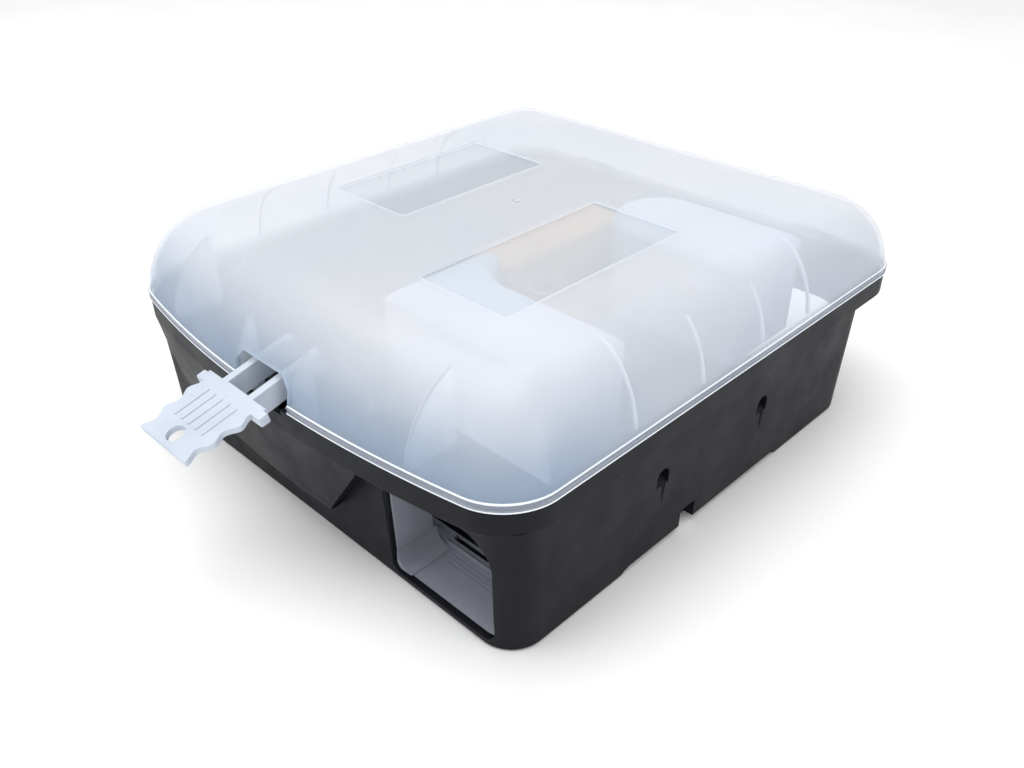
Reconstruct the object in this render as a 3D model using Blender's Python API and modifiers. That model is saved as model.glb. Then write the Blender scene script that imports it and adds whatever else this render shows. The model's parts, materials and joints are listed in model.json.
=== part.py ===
"""Rodent bait station: a black moulded tub with a domed translucent lid and a forked key.

Run with:  blender --background --python part.py

Frame: metres, +Z up, origin at the middle of the tub's underside.
-Y is the front, where the key goes in. +X is the side that stands along a wall.
+Y is the hinge side. Dimensions below are in millimetres; MM turns them into metres.
"""
import math

import bmesh
import bpy
from mathutils import Matrix, Vector

MM = 0.001
GAP = 0.3                      # clearance between neighbouring pieces

# Overall
HALF_WIDTH = 139.0             # lid and rim, middle to side
HALF_DEPTH = 150.0             # lid and rim, middle to front or rear corner line
FRONT_BOW = 15.4               # how far the front curves out at the middle
RIM_Z = 76.0                   # where the lid meets the tub
LID_TOP_Z = 119.2
RIM_RADIUS = 22.7              # plan radius of the rim's corners

# Tub
TUB_WALL = 2.6
FLOOR_TOP = 2.6
COLLAR_BOTTOM = 64.0
SHELF_TOP = COLLAR_BOTTOM + TUB_WALL
COLLAR_INSET = 0.6
TUB_HALF_WIDTH = 136.8         # at the collar; the walls lean in below it
TUB_FRONT = -149.6
TUB_REAR = 123.0
TUB_DRAFT = 2.0
TUB_RADIUS = 17.0
BULGE_BOTTOM = 22.0            # the front panel that hides the lock
BULGE_RIGHT_LOW = 27.0
BULGE_RIGHT_HIGH = 60.0
BULGE_LEAN = 7.6
PARTITION = 2.0
PARTITION_TOP = 59.7

# Entrances
DOOR_LEFT = 61.0
DOOR_RIGHT = 124.0
DOOR_BOTTOM = 4.0
DOOR_TOP = 57.0

# Lid
LID_WALL = 2.2
LIP_HEIGHT = 4.0
LIP_STEP = 0.8
ROLL_SIDE = 32.0               # how far the dome rolls in over the sides
ROLL_END = 42.8                # and over the front and rear
TOP_RADIUS = 6.0
WINDOW_DEPTH = 0.9
WINDOW_INNER = 28.0
WINDOW_OUTER = 81.5
MOUTH_HALF = 19.5
MOUTH_TOP = 92.0
LOCK_WALL_X = 20.3
FIN_X = 87.0
FIN_WALL = 1.8

RIB_WIDTH = 1.4
RIB_DEPTH = 2.2
RIB_START = 7.0                # degrees round the roll-over, from the rim
SIDE_RIBS = ((-76.6, 76.0), (-30.0, 56.0), (16.7, 52.0), (57.0, 74.0))

# Hinge
HINGE_Y = 155.0
HINGE_Z = 73.5
HINGE_X = 83.0
KNUCKLE_RADIUS = 4.6
PIN_RADIUS = 1.5
LUG_WIDTH = 6.0
LID_LUG_HALF = 6.6

# Key
KEY_TILT = math.radians(14.0)
KEY_SHOULDER = (0.0, -175.0, 85.0)
KEY_PLATE = 3.0
PRONG_INNER = 7.7
PRONG_OUTER = 11.8
PRONG_HEIGHT = 11.3
PRONG_LENGTH = 36.0
HANDLE_LENGTH = 38.0

# Lock
LATCH_BOTTOM = SHELF_TOP + GAP
LATCH_HEIGHT = 5.0
LATCH_INNER = 5.0
LATCH_OUTER = 19.6
NOSE_Y = -150.5
LATCH_REAR = -128.0
PAD_Y = -136.9
HOUSING_REAR = -112.0
TOE_FRONT = -158.5
TOE_REAR = -151.0
TOE_BOTTOM = 60.0
TOE_TOP = 65.5
SPRING_X = 12.5
SPRING_Z = 70.6
SPRING_RADIUS = 2.6
SPRING_WIRE = 0.45
SCREW_X = 30.0
SCREW_Y = -130.0

# Bait
ROD_X = 12.0
ROD_RADIUS = 2.0
ROD_HEIGHTS = (44.0, 88.0)
BLOCK_SIDE = 28.0
BLOCK_LENGTH = 29.4
BLOCK_START = -37.6
BLOCK_PITCH = 30.0
BLOCKS_PER_ROD = 3
POST_FRONT_Y = -41.0
POST_REAR_Y = 55.6
POST_THICK = 3.0
POST_TOP = 96.0

COVER_BOTTOM = PARTITION_TOP + GAP
COVER_TOP = 112.0
COVER_WALL = 1.6

COLOURS = {
    "black_pp": ((0.035, 0.037, 0.043, 1.0), 0.48, 0.0),
    "natural_pp": ((0.80, 0.86, 0.90, 1.0), 0.35, 0.0),
    "zinc_steel": ((0.62, 0.63, 0.64, 1.0), 0.32, 1.0),
    "wax_bait": ((0.78, 0.45, 0.20, 1.0), 0.60, 0.0),
}


def clear_scene():
    """Remove the scene's objects, so the model starts from nothing."""
    for old in list(bpy.data.objects):
        bpy.data.objects.remove(old, do_unlink=True)


def make_collection(name):
    """Return a new collection linked to the scene."""
    collection = bpy.data.collections.new(name)
    bpy.context.scene.collection.children.link(collection)
    return collection


def make_material(part_name, finish):
    """Return a part's own Principled material, from its finish in COLOURS."""
    colour, roughness, metallic = COLOURS[finish]
    material = bpy.data.materials.new(f"{part_name}_{finish}")
    material.use_nodes = True
    shader = material.node_tree.nodes["Principled BSDF"]
    shader.inputs["Base Color"].default_value = colour
    shader.inputs["Roughness"].default_value = roughness
    shader.inputs["Metallic"].default_value = metallic
    return material


clear_scene()
PARTS = make_collection("bait_station")
CUTTERS = make_collection("cutters")


# ---------------------------------------------------------------- building blocks

def add_object(name, mesh, finish=None):
    """Link a mesh as a named part, or as a hidden cutter when it has no finish."""
    made = bpy.data.objects.new(name, mesh)
    if finish is None:
        CUTTERS.objects.link(made)
        made.hide_render = True
        made.display_type = "WIRE"
    else:
        PARTS.objects.link(made)
        mesh.materials.append(make_material(name, finish))
        mesh.shade_smooth()
        mesh.set_sharp_from_angle(angle=math.radians(30))
    return made


def mesh_from(name, bm):
    """Turn a bmesh in millimetres into a mesh in metres."""
    bmesh.ops.scale(bm, vec=(MM, MM, MM), verts=bm.verts)
    mesh = bpy.data.meshes.new(name)
    bm.to_mesh(mesh)
    bm.free()
    return mesh


def box(name, low, high, finish=None):
    """A box between two corners, in millimetres."""
    bm = bmesh.new()
    size = [b - a for a, b in zip(low, high)]
    middle = [(a + b) / 2 for a, b in zip(low, high)]
    matrix = Matrix.Translation(middle) @ Matrix.Diagonal((*size, 1.0))
    bmesh.ops.create_cube(bm, size=1.0, matrix=matrix)
    return add_object(name, mesh_from(name, bm), finish)


def rod(name, start, end, radius, finish=None, end_radius=None, sides=16):
    """A cylinder, or a cone when end_radius is given, between two points."""
    start, end = Vector(start), Vector(end)
    turn = (end - start).to_track_quat("Z", "Y").to_matrix().to_4x4()
    matrix = Matrix.Translation((start + end) / 2) @ turn
    bm = bmesh.new()
    bmesh.ops.create_cone(bm, cap_ends=True, segments=sides, radius1=radius,
                          radius2=radius if end_radius is None else end_radius,
                          depth=(end - start).length, matrix=matrix)
    return add_object(name, mesh_from(name, bm), finish)


def loft(name, rings, finish=None, capped=True):
    """Skin rings of equal counts, listed from low to high and counter-clockwise."""
    bm = bmesh.new()
    loops = [[bm.verts.new(point) for point in ring] for ring in rings]
    count = len(loops[0])
    for lower, upper in zip(loops, loops[1:]):
        for i in range(count):
            after = (i + 1) % count
            bm.faces.new((lower[i], lower[after], upper[after], upper[i]))
    if capped:
        bm.faces.new(reversed(loops[0]))
    bm.faces.new(loops[-1])
    bmesh.ops.recalc_face_normals(bm, faces=bm.faces)
    return add_object(name, mesh_from(name, bm), finish)


def prism(name, points, low, high, axis="Z", finish=None):
    """Extrude a flat outline along X, Y or Z between two heights."""
    place = {
        "Z": lambda a, b, h: (a, b, h),
        "X": lambda a, b, h: (h, a, b),
        "Y": lambda a, b, h: (a, h, b),
    }[axis]
    rings = [[place(a, b, level) for a, b in points] for level in (low, high)]
    return loft(name, rings, finish)


def add_boolean(target, tool, operation):
    """Add a Boolean modifier that joins or cuts with a hidden tool."""
    modifier = target.modifiers.new(f"{operation.lower()}_{tool.name}", "BOOLEAN")
    modifier.operation = operation
    modifier.object = tool
    modifier.solver = "EXACT"


def cut(target, *tools):
    """Cut each tool out of the target."""
    for tool in tools:
        add_boolean(target, tool, "DIFFERENCE")


def join(target, *tools):
    """Join each tool to the target."""
    for tool in tools:
        add_boolean(target, tool, "UNION")


def soften(target, width, segments=1):
    """Round the sharp edges of a part."""
    bevel = target.modifiers.new("soft_edges", "BEVEL")
    bevel.width = width * MM
    bevel.segments = segments
    bevel.limit_method = "ANGLE"
    bevel.angle_limit = math.radians(50)


# ---------------------------------------------------------------- outlines

def bow_at(x, half_width=HALF_WIDTH):
    """How far the front stands out from its corner line at x."""
    return FRONT_BOW * max(0.0, 1.0 - (x / half_width) ** 2)


def plan(half_x, front, rear, radius, bowed=False, arc_steps=5, front_steps=10):
    """Rounded plan outline, counter-clockwise from the rear of the +X side."""
    corners = ((half_x - radius, rear - radius, 0), (radius - half_x, rear - radius, 90),
               (radius - half_x, front + radius, 180), (half_x - radius, front + radius, 270))
    points = []
    for x, y, start in corners:
        for step in range(arc_steps + 1):
            angle = math.radians(start + 90 * step / arc_steps)
            points.append((x + radius * math.cos(angle), y + radius * math.sin(angle)))
        if start == 180:
            span = 2 * (half_x - radius)
            points += [(x + span * step / front_steps, front) for step in range(1, front_steps)]
    if not bowed:
        return points
    edge = front + radius + 0.01
    return [(x, y - bow_at(x)) if y < edge else (x, y) for x, y in points]


def rim_plan(inset, radius=None):
    """The bowed outline of the rim, moved in by inset."""
    corner = max(RIM_RADIUS - inset, 3.0) if radius is None else radius
    return plan(HALF_WIDTH - inset, inset - HALF_DEPTH, HALF_DEPTH - inset, corner, bowed=True)


def tub_plan(z, inset=0.0):
    """The tub wall's outline at height z, moved in by inset."""
    lean = TUB_DRAFT * (1.0 - z / COLLAR_BOTTOM) + inset
    return plan(TUB_HALF_WIDTH - lean, TUB_FRONT + lean, TUB_REAR - lean, TUB_RADIUS - inset)


def at_height(points, z):
    """Lift a flat outline to height z."""
    return [(x, y, z) for x, y in points]


# ---------------------------------------------------------------- tub

def bulge_ring(z, inset, right_end, inner_y=-140.0):
    """Outline of the front panel: along the bow, round the left corner and back."""
    half = HALF_WIDTH - COLLAR_INSET
    radius = RIM_RADIUS
    front = -HALF_DEPTH + COLLAR_INSET
    left_start = radius - half
    points = []
    steps = 8
    for step in range(steps + 1):
        x = right_end + (left_start - right_end) * step / steps
        points.append((x, front - bow_at(x) + inset))
    for step in range(1, 5):
        angle = math.radians(270 - 90 * step / 4)
        x = left_start + (radius - inset) * math.cos(angle)
        y = front + radius + (radius - inset) * math.sin(angle)
        points.append((x, y - bow_at(x)))
    points.append((points[-1][0] + 12.0, front + radius + 10.0))
    points.append((-100.0, inner_y + 22.0))
    points.append((-90.0, inner_y))
    points.append((right_end - 4.0, inner_y))
    return at_height(reversed(points), z)


def make_bulge(name, inset, low, high):
    """The lock panel's solid, or its hollow when inset is the wall."""
    levels = ((low, BULGE_LEAN + 3.0), (low + 2.0, BULGE_LEAN + 0.8), (low + 7.0, BULGE_LEAN - 1.0),
              (COLLAR_BOTTOM, 0.4), (high, 0.0))
    rings = []
    for z, lean in levels:
        share = min(1.0, max(0.0, (z - BULGE_BOTTOM) / (COLLAR_BOTTOM - BULGE_BOTTOM)))
        right = BULGE_RIGHT_LOW + (BULGE_RIGHT_HIGH - BULGE_RIGHT_LOW) * share
        rings.append(bulge_ring(z, lean + inset, right - inset * 1.4))
    return loft(name, rings)


def door_outline(left, right):
    """Entrance outline in X and Z, with small lower and large upper corners."""
    points = []
    corners = ((right, DOOR_TOP, 14.0, 0), (left, DOOR_TOP, 6.0, 90),
               (left, DOOR_BOTTOM, 5.0, 180), (right, DOOR_BOTTOM, 5.0, 270))
    for x, z, radius, start in corners:
        centre_x = x - radius if start in (0, 270) else x + radius
        centre_z = z - radius if start in (0, 90) else z + radius
        for step in range(4):
            angle = math.radians(start + 30 * step)
            points.append((centre_x + radius * math.cos(angle), centre_z + radius * math.sin(angle)))
    return points


def cavity_solid(name, extra):
    """The hollow of the tub, made smaller all round by extra."""
    inner = TUB_WALL + extra
    floor = FLOOR_TOP + extra
    return loft(name, [
        at_height(tub_plan(floor, inner + 1.5), floor),
        at_height(tub_plan(floor + 1.5, inner), floor + 1.5),
        at_height(tub_plan(SHELF_TOP + 2.0, inner), SHELF_TOP + 2.0),
    ])


def tub_shell():
    """The tub's outer form with its collar, shelf and lock panel, hollowed out."""
    tub = loft("base_tub", [
        at_height(tub_plan(0.0, 1.6), 0.0),
        at_height(tub_plan(1.6), 1.6),
        at_height(tub_plan(SHELF_TOP - 1.0), SHELF_TOP - 1.0),
    ], finish="black_pp")
    rim_top = RIM_Z - GAP
    collar = loft("tub_collar", [
        at_height(rim_plan(COLLAR_INSET + 1.0), COLLAR_BOTTOM),
        at_height(rim_plan(COLLAR_INSET), COLLAR_BOTTOM + 1.2),
        at_height(rim_plan(COLLAR_INSET), rim_top),
    ])
    bulge = make_bulge("tub_bulge", 0.0, BULGE_BOTTOM, SHELF_TOP)
    join(tub, collar, bulge)
    inner = TUB_WALL
    pocket = loft("rim_pocket", [
        at_height(rim_plan(COLLAR_INSET + inner), SHELF_TOP),
        at_height(rim_plan(COLLAR_INSET + inner), RIM_Z + 6.0),
    ])
    cavity = cavity_solid("tub_cavity", 0.0)
    cut(tub, pocket, cavity)
    return tub


def cut_lock_pocket(tub):
    """Hollow the lock panel, which stays open at the top between its walls."""
    hollow = make_bulge("bulge_hollow", TUB_WALL, BULGE_BOTTOM + TUB_WALL + 1.0, SHELF_TOP + 2.0)
    wall_line = TUB_FRONT - 0.4
    keep = box("bulge_hollow_limit", (-112.0, -170.0, 0.0), (HALF_WIDTH, wall_line, RIM_Z))
    add_boolean(hollow, keep, "INTERSECT")
    cut(tub, hollow)


def add_partitions(tub):
    """Inner walls that lead an animal round from each door to the bait."""
    low, high = FLOOR_TOP - 1.0, PARTITION_TOP
    walls = (
        ((24.0, TUB_FRONT + 2.4), (24.0 + PARTITION, -66.0)),
        ((24.0, -68.0), (92.0, -68.0 + PARTITION)),
        ((32.0, 70.0), (32.0 + PARTITION, TUB_REAR - 2.4)),
        ((32.0, 70.0), (92.0, 70.0 + PARTITION)),
    )
    for number, (a, b) in enumerate(walls):
        join(tub, box(f"partition_{number}", (*a, low), (*b, high)))


def add_screw_pillars(tub):
    """Two pillars that the lock housing is screwed down on."""
    for side in (-1, 1):
        x = side * SCREW_X
        top = LATCH_BOTTOM - GAP - 4.0 - GAP
        join(tub, rod(f"pillar_{side}", (x, SCREW_Y, FLOOR_TOP - 1.0), (x, SCREW_Y, top), 4.2, sides=12))
        cut(tub, rod(f"pillar_hole_{side}", (x, SCREW_Y, top - 12.0), (x, SCREW_Y, top + 2.0), 1.7, sides=8))


def add_wall_scoops(tub):
    """Fixing scoops in both sides: a boss inside, a tapered groove and a small hole."""
    for side in (-1, 1):
        surface = side * (TUB_HALF_WIDTH - 0.7)
        for number, y in enumerate((-55.0, 24.0)):
            name = f"{number}_{'left' if side < 0 else 'right'}"
            boss = rod(f"scoop_boss_{name}", (surface - side * 3.0, y, 22.0), (surface - side * 3.0, y, 50.0),
                       5.0, end_radius=8.2, sides=12)
            groove = rod(f"scoop_groove_{name}", (surface + side * 2.5, y, 24.0), (surface, y, 45.0),
                         1.0, end_radius=4.6, sides=12)
            hole = rod(f"scoop_hole_{name}", (surface + side * 3.0, y, 42.0), (surface - side * 16.0, y, 42.0),
                       2.4, sides=10)
            inside = box(f"scoop_side_{name}", (min(surface - side * 1.0, surface - side * 30.0), y - 12, 10.0),
                         (max(surface - side * 1.0, surface - side * 30.0), y + 12, 60.0))
            add_boolean(boss, inside, "INTERSECT")
            join(tub, boss)
            cut(tub, groove, hole)


def cut_underside(tub):
    """Arches between the feet, a raised sill at each door and a tie notch in each side."""
    for side in (-1, 1):
        outer = side * (TUB_HALF_WIDTH + 4.0)
        deep = side * 127.0
        low_x, high_x = min(outer, deep), max(outer, deep)
        label = "left" if side < 0 else "right"
        join(tub, box(f"arch_roof_{label}", (min(side * 133.5, side * 124.0), -84.0, FLOOR_TOP - 0.8),
                      (max(side * 133.5, side * 124.0), 56.0, 6.0)))
        arch = prism(f"arch_{label}", ((-82.0, -1.0), (53.0, -1.0), (53.0, 0.0), (43.0, 3.4), (-73.0, 3.4), (-82.0, 0.0)),
                     low_x, high_x, axis="X")
        notch = box(f"tie_notch_{label}", (min(side * 130.0, outer), -36.0, 2.0), (max(side * 130.0, outer), -25.0, 13.0))
        cut(tub, arch, notch)
    for label, wall in (("front", TUB_FRONT), ("rear", TUB_REAR)):
        low_y, high_y = wall - 4.0, wall + 4.0
        sill = box(f"sill_{label}", (58.0, low_y, -1.0), (118.0, high_y, 1.2))
        cut(tub, sill)


def cut_doors(tub):
    """One entrance near the wall side at the front, and one at the rear."""
    outline = door_outline(DOOR_LEFT, DOOR_RIGHT)
    cut(tub, prism("door_front", outline, TUB_FRONT - 6.0, TUB_FRONT + 8.0, axis="Y"))
    cut(tub, prism("door_rear", outline, TUB_REAR - 8.0, TUB_REAR + 6.0, axis="Y"))


def add_hinge_lugs(tub):
    """Two pairs of knuckles behind the rim, drilled for the hinge pins."""
    for side in (-1, 1):
        middle = side * HINGE_X
        for near in (-1, 1):
            start = middle + near * (LID_LUG_HALF + 0.4)
            end = start + near * LUG_WIDTH
            label = f"{side}_{near}"
            knuckle = rod(f"tub_knuckle_{label}", (start, HINGE_Y, HINGE_Z), (end, HINGE_Y, HINGE_Z),
                          KNUCKLE_RADIUS, sides=12)
            web = box(f"tub_web_{label}", (min(start, end), HALF_DEPTH - 2.5, 65.0),
                      (max(start, end), HINGE_Y, HINGE_Z))
            join(tub, knuckle, web)
        reach = LID_LUG_HALF + LUG_WIDTH + 4.0
        cut(tub, rod(f"tub_pin_hole_{side}", (middle - reach, HINGE_Y, HINGE_Z), (middle + reach, HINGE_Y, HINGE_Z),
                     PIN_RADIUS + GAP, sides=12))


def make_tub():
    """The whole tub, one black moulding."""
    tub = tub_shell()
    cut_lock_pocket(tub)
    add_partitions(tub)
    add_screw_pillars(tub)
    add_wall_scoops(tub)
    cut_underside(tub)
    cut_doors(tub)
    add_hinge_lugs(tub)
    notch = box("key_notch", (-14.0, -172.0, RIM_Z - 3.2), (14.0, -155.0, RIM_Z + 2.0))
    cut(tub, notch)
    return tub


# ---------------------------------------------------------------- lid

def dome_inset(z):
    """Share of the roll-over used up at height z: 0 at the rim, 1 at the top."""
    rise = min(1.0, max(0.0, (z - RIM_Z) / (LID_TOP_Z - RIM_Z)))
    return 1.0 - math.sqrt(1.0 - rise ** 2)


def dome_ring(angle):
    """One ring of the dome; angle runs from 0 at the rim to 90 degrees at the top."""
    share = 1.0 - math.cos(angle)
    radius = RIM_RADIUS + (TOP_RADIUS - RIM_RADIUS) * share
    side = LIP_STEP + (ROLL_SIDE - LIP_STEP) * share
    end = LIP_STEP + (ROLL_END - LIP_STEP) * share
    z = RIM_Z + (LID_TOP_Z - RIM_Z) * math.sin(angle)
    outline = plan(HALF_WIDTH - side, end - HALF_DEPTH, HALF_DEPTH - end, radius, bowed=True)
    return at_height(outline, z)


def lid_shell():
    """The domed skin with its lip, open underneath."""
    lip_top = RIM_Z + LIP_HEIGHT
    start = math.asin((LIP_HEIGHT + 0.3) / (LID_TOP_Z - RIM_Z))
    rings = [at_height(rim_plan(0.0), RIM_Z), at_height(rim_plan(0.0), lip_top)]
    steps = 11
    for step in range(steps + 1):
        rings.append(dome_ring(start + (math.pi / 2 - start) * step / steps))
    lid = loft("lid", rings, finish="natural_pp", capped=False)
    wall = lid.modifiers.new("wall", "SOLIDIFY")
    wall.thickness = LID_WALL * MM
    wall.offset = -1.0
    wall.use_even_offset = True
    return lid


def front_skin_y(x, z):
    """The middle of the lid's front wall at x and height z."""
    return -HALF_DEPTH - bow_at(x) + ROLL_END * dome_inset(z) + LIP_STEP + LID_WALL / 2


def front_fin(name, x, free_y, knee_z, apex_z):
    """A gusset across the front roll-over, from the skin back to its free edge."""
    levels = [RIM_Z + 2.0 + (apex_z - RIM_Z - 2.0) * step / 6 for step in range(7)]
    points = [(front_skin_y(x, z), z) for z in levels]
    points += [(free_y, knee_z), (free_y, levels[0])]
    return prism(name, list(reversed(points)), x - FIN_WALL / 2, x + FIN_WALL / 2, axis="X")


def side_skin(angle, depth):
    """Point in X and Z on the side roll-over at an angle, depth below its outer face."""
    side = ROLL_SIDE - LIP_STEP - depth
    height = LID_TOP_Z - RIM_Z - depth
    return HALF_WIDTH - ROLL_SIDE + side * math.cos(angle), RIM_Z + height * math.sin(angle)


def add_side_ribs(lid):
    """Thin ribs inside both side roll-overs, each fading out at its ends."""
    steps = 9
    for number, (y, end) in enumerate(SIDE_RIBS):
        outer, inner = [], []
        for step in range(steps + 1):
            angle = math.radians(RIB_START + (end - RIB_START) * step / steps)
            depth = LID_WALL + RIB_DEPTH * math.sin(math.pi * step / steps) ** 0.5
            outer.append(side_skin(angle, LID_WALL * 0.6))
            inner.append(side_skin(angle, max(depth, LID_WALL * 0.6 + 0.05)))
        points = outer + inner[::-1]
        mirrored = [(-x, z) for x, z in reversed(points)]
        low, high = y - RIB_WIDTH / 2, y + RIB_WIDTH / 2
        join(lid, prism(f"rib_right_{number}", points, low, high, axis="Y"),
             prism(f"rib_left_{number}", mirrored, low, high, axis="Y"))


def add_windows(lid):
    """Two thinner panels in the top, one on each side of the middle strip."""
    top = LID_TOP_Z + 1.0
    floor = LID_TOP_Z - WINDOW_DEPTH
    cut(lid, box("window_left", (-WINDOW_OUTER, -58.0, floor), (-WINDOW_INNER, 44.0, top)),
        box("window_right", (WINDOW_INNER, -96.0, floor), (WINDOW_OUTER, 22.0, top)))


def add_key_mouth(lid):
    """The mouth that the key goes into, with the walls and hooks of the lock."""
    chamfer = 5.0
    low = RIM_Z - 4.0
    outline = ((-MOUTH_HALF, low), (MOUTH_HALF, low), (MOUTH_HALF, MOUTH_TOP - chamfer),
               (MOUTH_HALF - chamfer, MOUTH_TOP), (chamfer - MOUTH_HALF, MOUTH_TOP),
               (-MOUTH_HALF, MOUTH_TOP - chamfer))
    cut(lid, prism("key_mouth", outline, -172.0, -152.0, axis="Y"))
    for side in (-1, 1):
        x = side * (LOCK_WALL_X + FIN_WALL / 2)
        label = "left" if side < 0 else "right"
        wall = front_fin(f"lock_wall_{label}", x, TOE_REAR, 98.0, 104.0)
        shank = box(f"hook_shank_{label}", (x - FIN_WALL / 2, TOE_FRONT, TOE_BOTTOM), (x + FIN_WALL / 2, TOE_REAR, 90.0))
        inner = side * 13.0
        toe = box(f"hook_toe_{label}", (min(x, inner), TOE_FRONT, TOE_BOTTOM), (max(x, inner), TOE_REAR, TOE_TOP))
        join(lid, wall, shank, toe)


def add_lid_lugs(lid):
    """The lid's half of each hinge."""
    for side in (-1, 1):
        low, high = side * HINGE_X - LID_LUG_HALF, side * HINGE_X + LID_LUG_HALF
        knuckle = rod(f"lid_knuckle_{side}", (low, HINGE_Y, HINGE_Z), (high, HINGE_Y, HINGE_Z), KNUCKLE_RADIUS - 0.2,
                      sides=12)
        arm = box(f"lid_arm_{side}", (low, HALF_DEPTH - 1.5, RIM_Z + GAP), (high, HINGE_Y, RIM_Z + 3.4))
        join(lid, knuckle, arm)
        cut(lid, rod(f"lid_pin_hole_{side}", (low - 2, HINGE_Y, HINGE_Z), (high + 2, HINGE_Y, HINGE_Z),
                     PIN_RADIUS + GAP, sides=12))


def make_lid():
    """The whole lid, one translucent moulding."""
    lid = lid_shell()
    add_side_ribs(lid)
    add_windows(lid)
    for side in (-1, 1):
        label = "left" if side < 0 else "right"
        join(lid, front_fin(f"fin_{label}", side * FIN_X, -131.0, 100.0, 115.5))
    add_key_mouth(lid)
    add_lid_lugs(lid)
    return lid


# ---------------------------------------------------------------- key and lock

def handle_half_width(distance):
    """Half the handle's width, which narrows outwards in three grip waves."""
    taper = 20.5 - 4.0 * distance / HANDLE_LENGTH
    return taper + 1.4 * math.cos(2 * math.pi * distance / 12.5)


def make_key():
    """Forked key: a flat wavy handle, a stop at the shoulder and two deep prongs."""
    steps = 24
    distances = [HANDLE_LENGTH * step / steps for step in range(steps + 1)]
    right = [(handle_half_width(d), -d) for d in distances]
    left = [(-x, y) for x, y in reversed(right)]
    key = prism("key", right[::-1] + left[::-1], -KEY_PLATE, 0.0, finish="natural_pp")
    low = -PRONG_HEIGHT
    stop = box("key_stop", (-24.5, -6.0, -KEY_PLATE - 2.0), (24.5, -1.0, 0.0))
    bridge = box("key_bridge", (-PRONG_OUTER, -2.2, low), (PRONG_OUTER, 0.4, 0.0))
    join(key, stop, bridge)
    for side in (-1, 1):
        a, b = sorted((side * PRONG_INNER, side * PRONG_OUTER))
        join(key, box(f"key_prong_{side}", (a, -0.2, low), (b, PRONG_LENGTH, 0.0)))
    cut(key, rod("key_hole", (0.0, -31.0, -6.0), (0.0, -31.0, 3.0), 4.2, sides=20))
    key.location = Vector(KEY_SHOULDER) * MM
    key.rotation_euler = (KEY_TILT, 0.0, 0.0)
    place_tools_with(key)
    return key


def place_tools_with(part):
    """Give a part's hidden tools the same place as the part itself."""
    for modifier in part.modifiers:
        if modifier.type == "BOOLEAN":
            modifier.object.location = part.location
            modifier.object.rotation_euler = part.rotation_euler


def make_latch(side):
    """A sliding latch: nose, body, pusher pad and the seat for its spring."""
    label = "left" if side < 0 else "right"
    low, high = LATCH_BOTTOM, LATCH_BOTTOM + LATCH_HEIGHT

    def across(inner, outer):
        return sorted((side * inner, side * outer))

    a, b = across(LATCH_INNER, LATCH_OUTER)
    latch = box(f"latch_{label}", (a, NOSE_Y, low), (b, LATCH_REAR, high), finish="black_pp")
    a, b = across(PRONG_INNER - 0.6, PRONG_OUTER + 0.6)
    pad = box(f"latch_pad_{label}", (a, PAD_Y, high - 0.5), (b, PAD_Y + 4.0, 93.0))
    a, b = across(SPRING_X - 4.5, SPRING_X + 4.5)
    seat = box(f"latch_seat_{label}", (a, LATCH_REAR - 2.5, high - 0.5), (b, LATCH_REAR, 75.0))
    join(latch, pad, seat)
    return latch


def make_spring(side):
    """A compression spring between a latch and the back of the housing."""
    label = "left" if side < 0 else "right"
    start, end = LATCH_REAR + GAP + SPRING_WIRE, HOUSING_REAR - 4.0 - GAP - SPRING_WIRE
    turns, per_turn = 4, 9
    curve = bpy.data.curves.new(f"latch_spring_{label}", "CURVE")
    curve.dimensions = "3D"
    curve.bevel_depth = SPRING_WIRE * MM
    curve.bevel_resolution = 1
    curve.use_fill_caps = True
    spline = curve.splines.new("POLY")
    count = turns * per_turn
    spline.points.add(count)
    for index, point in enumerate(spline.points):
        angle = 2 * math.pi * index / per_turn
        x = side * SPRING_X + SPRING_RADIUS * math.cos(angle)
        z = SPRING_Z + SPRING_RADIUS * math.sin(angle)
        y = start + (end - start) * index / count
        point.co = (x * MM, y * MM, z * MM, 1.0)
    spring = bpy.data.objects.new(curve.name, curve)
    PARTS.objects.link(spring)
    curve.materials.append(make_material(curve.name, "zinc_steel"))
    return spring


def make_lock_housing():
    """The tray that carries both latches, screwed to the tub's pillars."""
    low, high = LATCH_BOTTOM - GAP - 4.0, LATCH_BOTTOM - GAP
    front = TUB_FRONT + TUB_WALL + 0.6
    housing = box("lock_housing", (-36.0, front, low), (36.0, HOUSING_REAR, high), finish="black_pp")
    rear = box("housing_rear", (-22.5, HOUSING_REAR - 4.0, high - 0.5), (22.5, HOUSING_REAR, 78.0))
    middle = box("housing_middle", (-LATCH_INNER + 0.5, front, high - 0.5), (LATCH_INNER - 0.5, HOUSING_REAR - 1.0, 74.0))
    join(housing, rear, middle)
    for side in (-1, 1):
        a, b = sorted((side * (LATCH_OUTER + 0.5), side * (LATCH_OUTER + 2.9)))
        join(housing, box(f"housing_side_{side}", (a, front, high - 0.5), (b, HOUSING_REAR - 1.0, 74.0)))
        x = side * SCREW_X
        cut(housing, rod(f"housing_hole_{side}", (x, SCREW_Y, low - 2.0), (x, SCREW_Y, high + 2.0), 2.1, sides=12))
    return housing


def make_lock_screw(side):
    """A pan-head screw that holds one end of the housing down."""
    label = "left" if side < 0 else "right"
    x, top = side * SCREW_X, LATCH_BOTTOM
    screw = rod(f"lock_screw_{label}", (x, SCREW_Y, top - 12.0), (x, SCREW_Y, top + 0.5), 1.3,
                finish="zinc_steel", sides=8)
    head = rod(f"screw_head_{label}", (x, SCREW_Y, top), (x, SCREW_Y, top + 2.2), 3.6, end_radius=2.6, sides=14)
    slot = box(f"screw_slot_{label}", (x - 4.0, SCREW_Y - 0.5, top + 1.3), (x + 4.0, SCREW_Y + 0.5, top + 3.0))
    join(screw, head)
    cut(screw, slot)
    return screw


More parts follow.
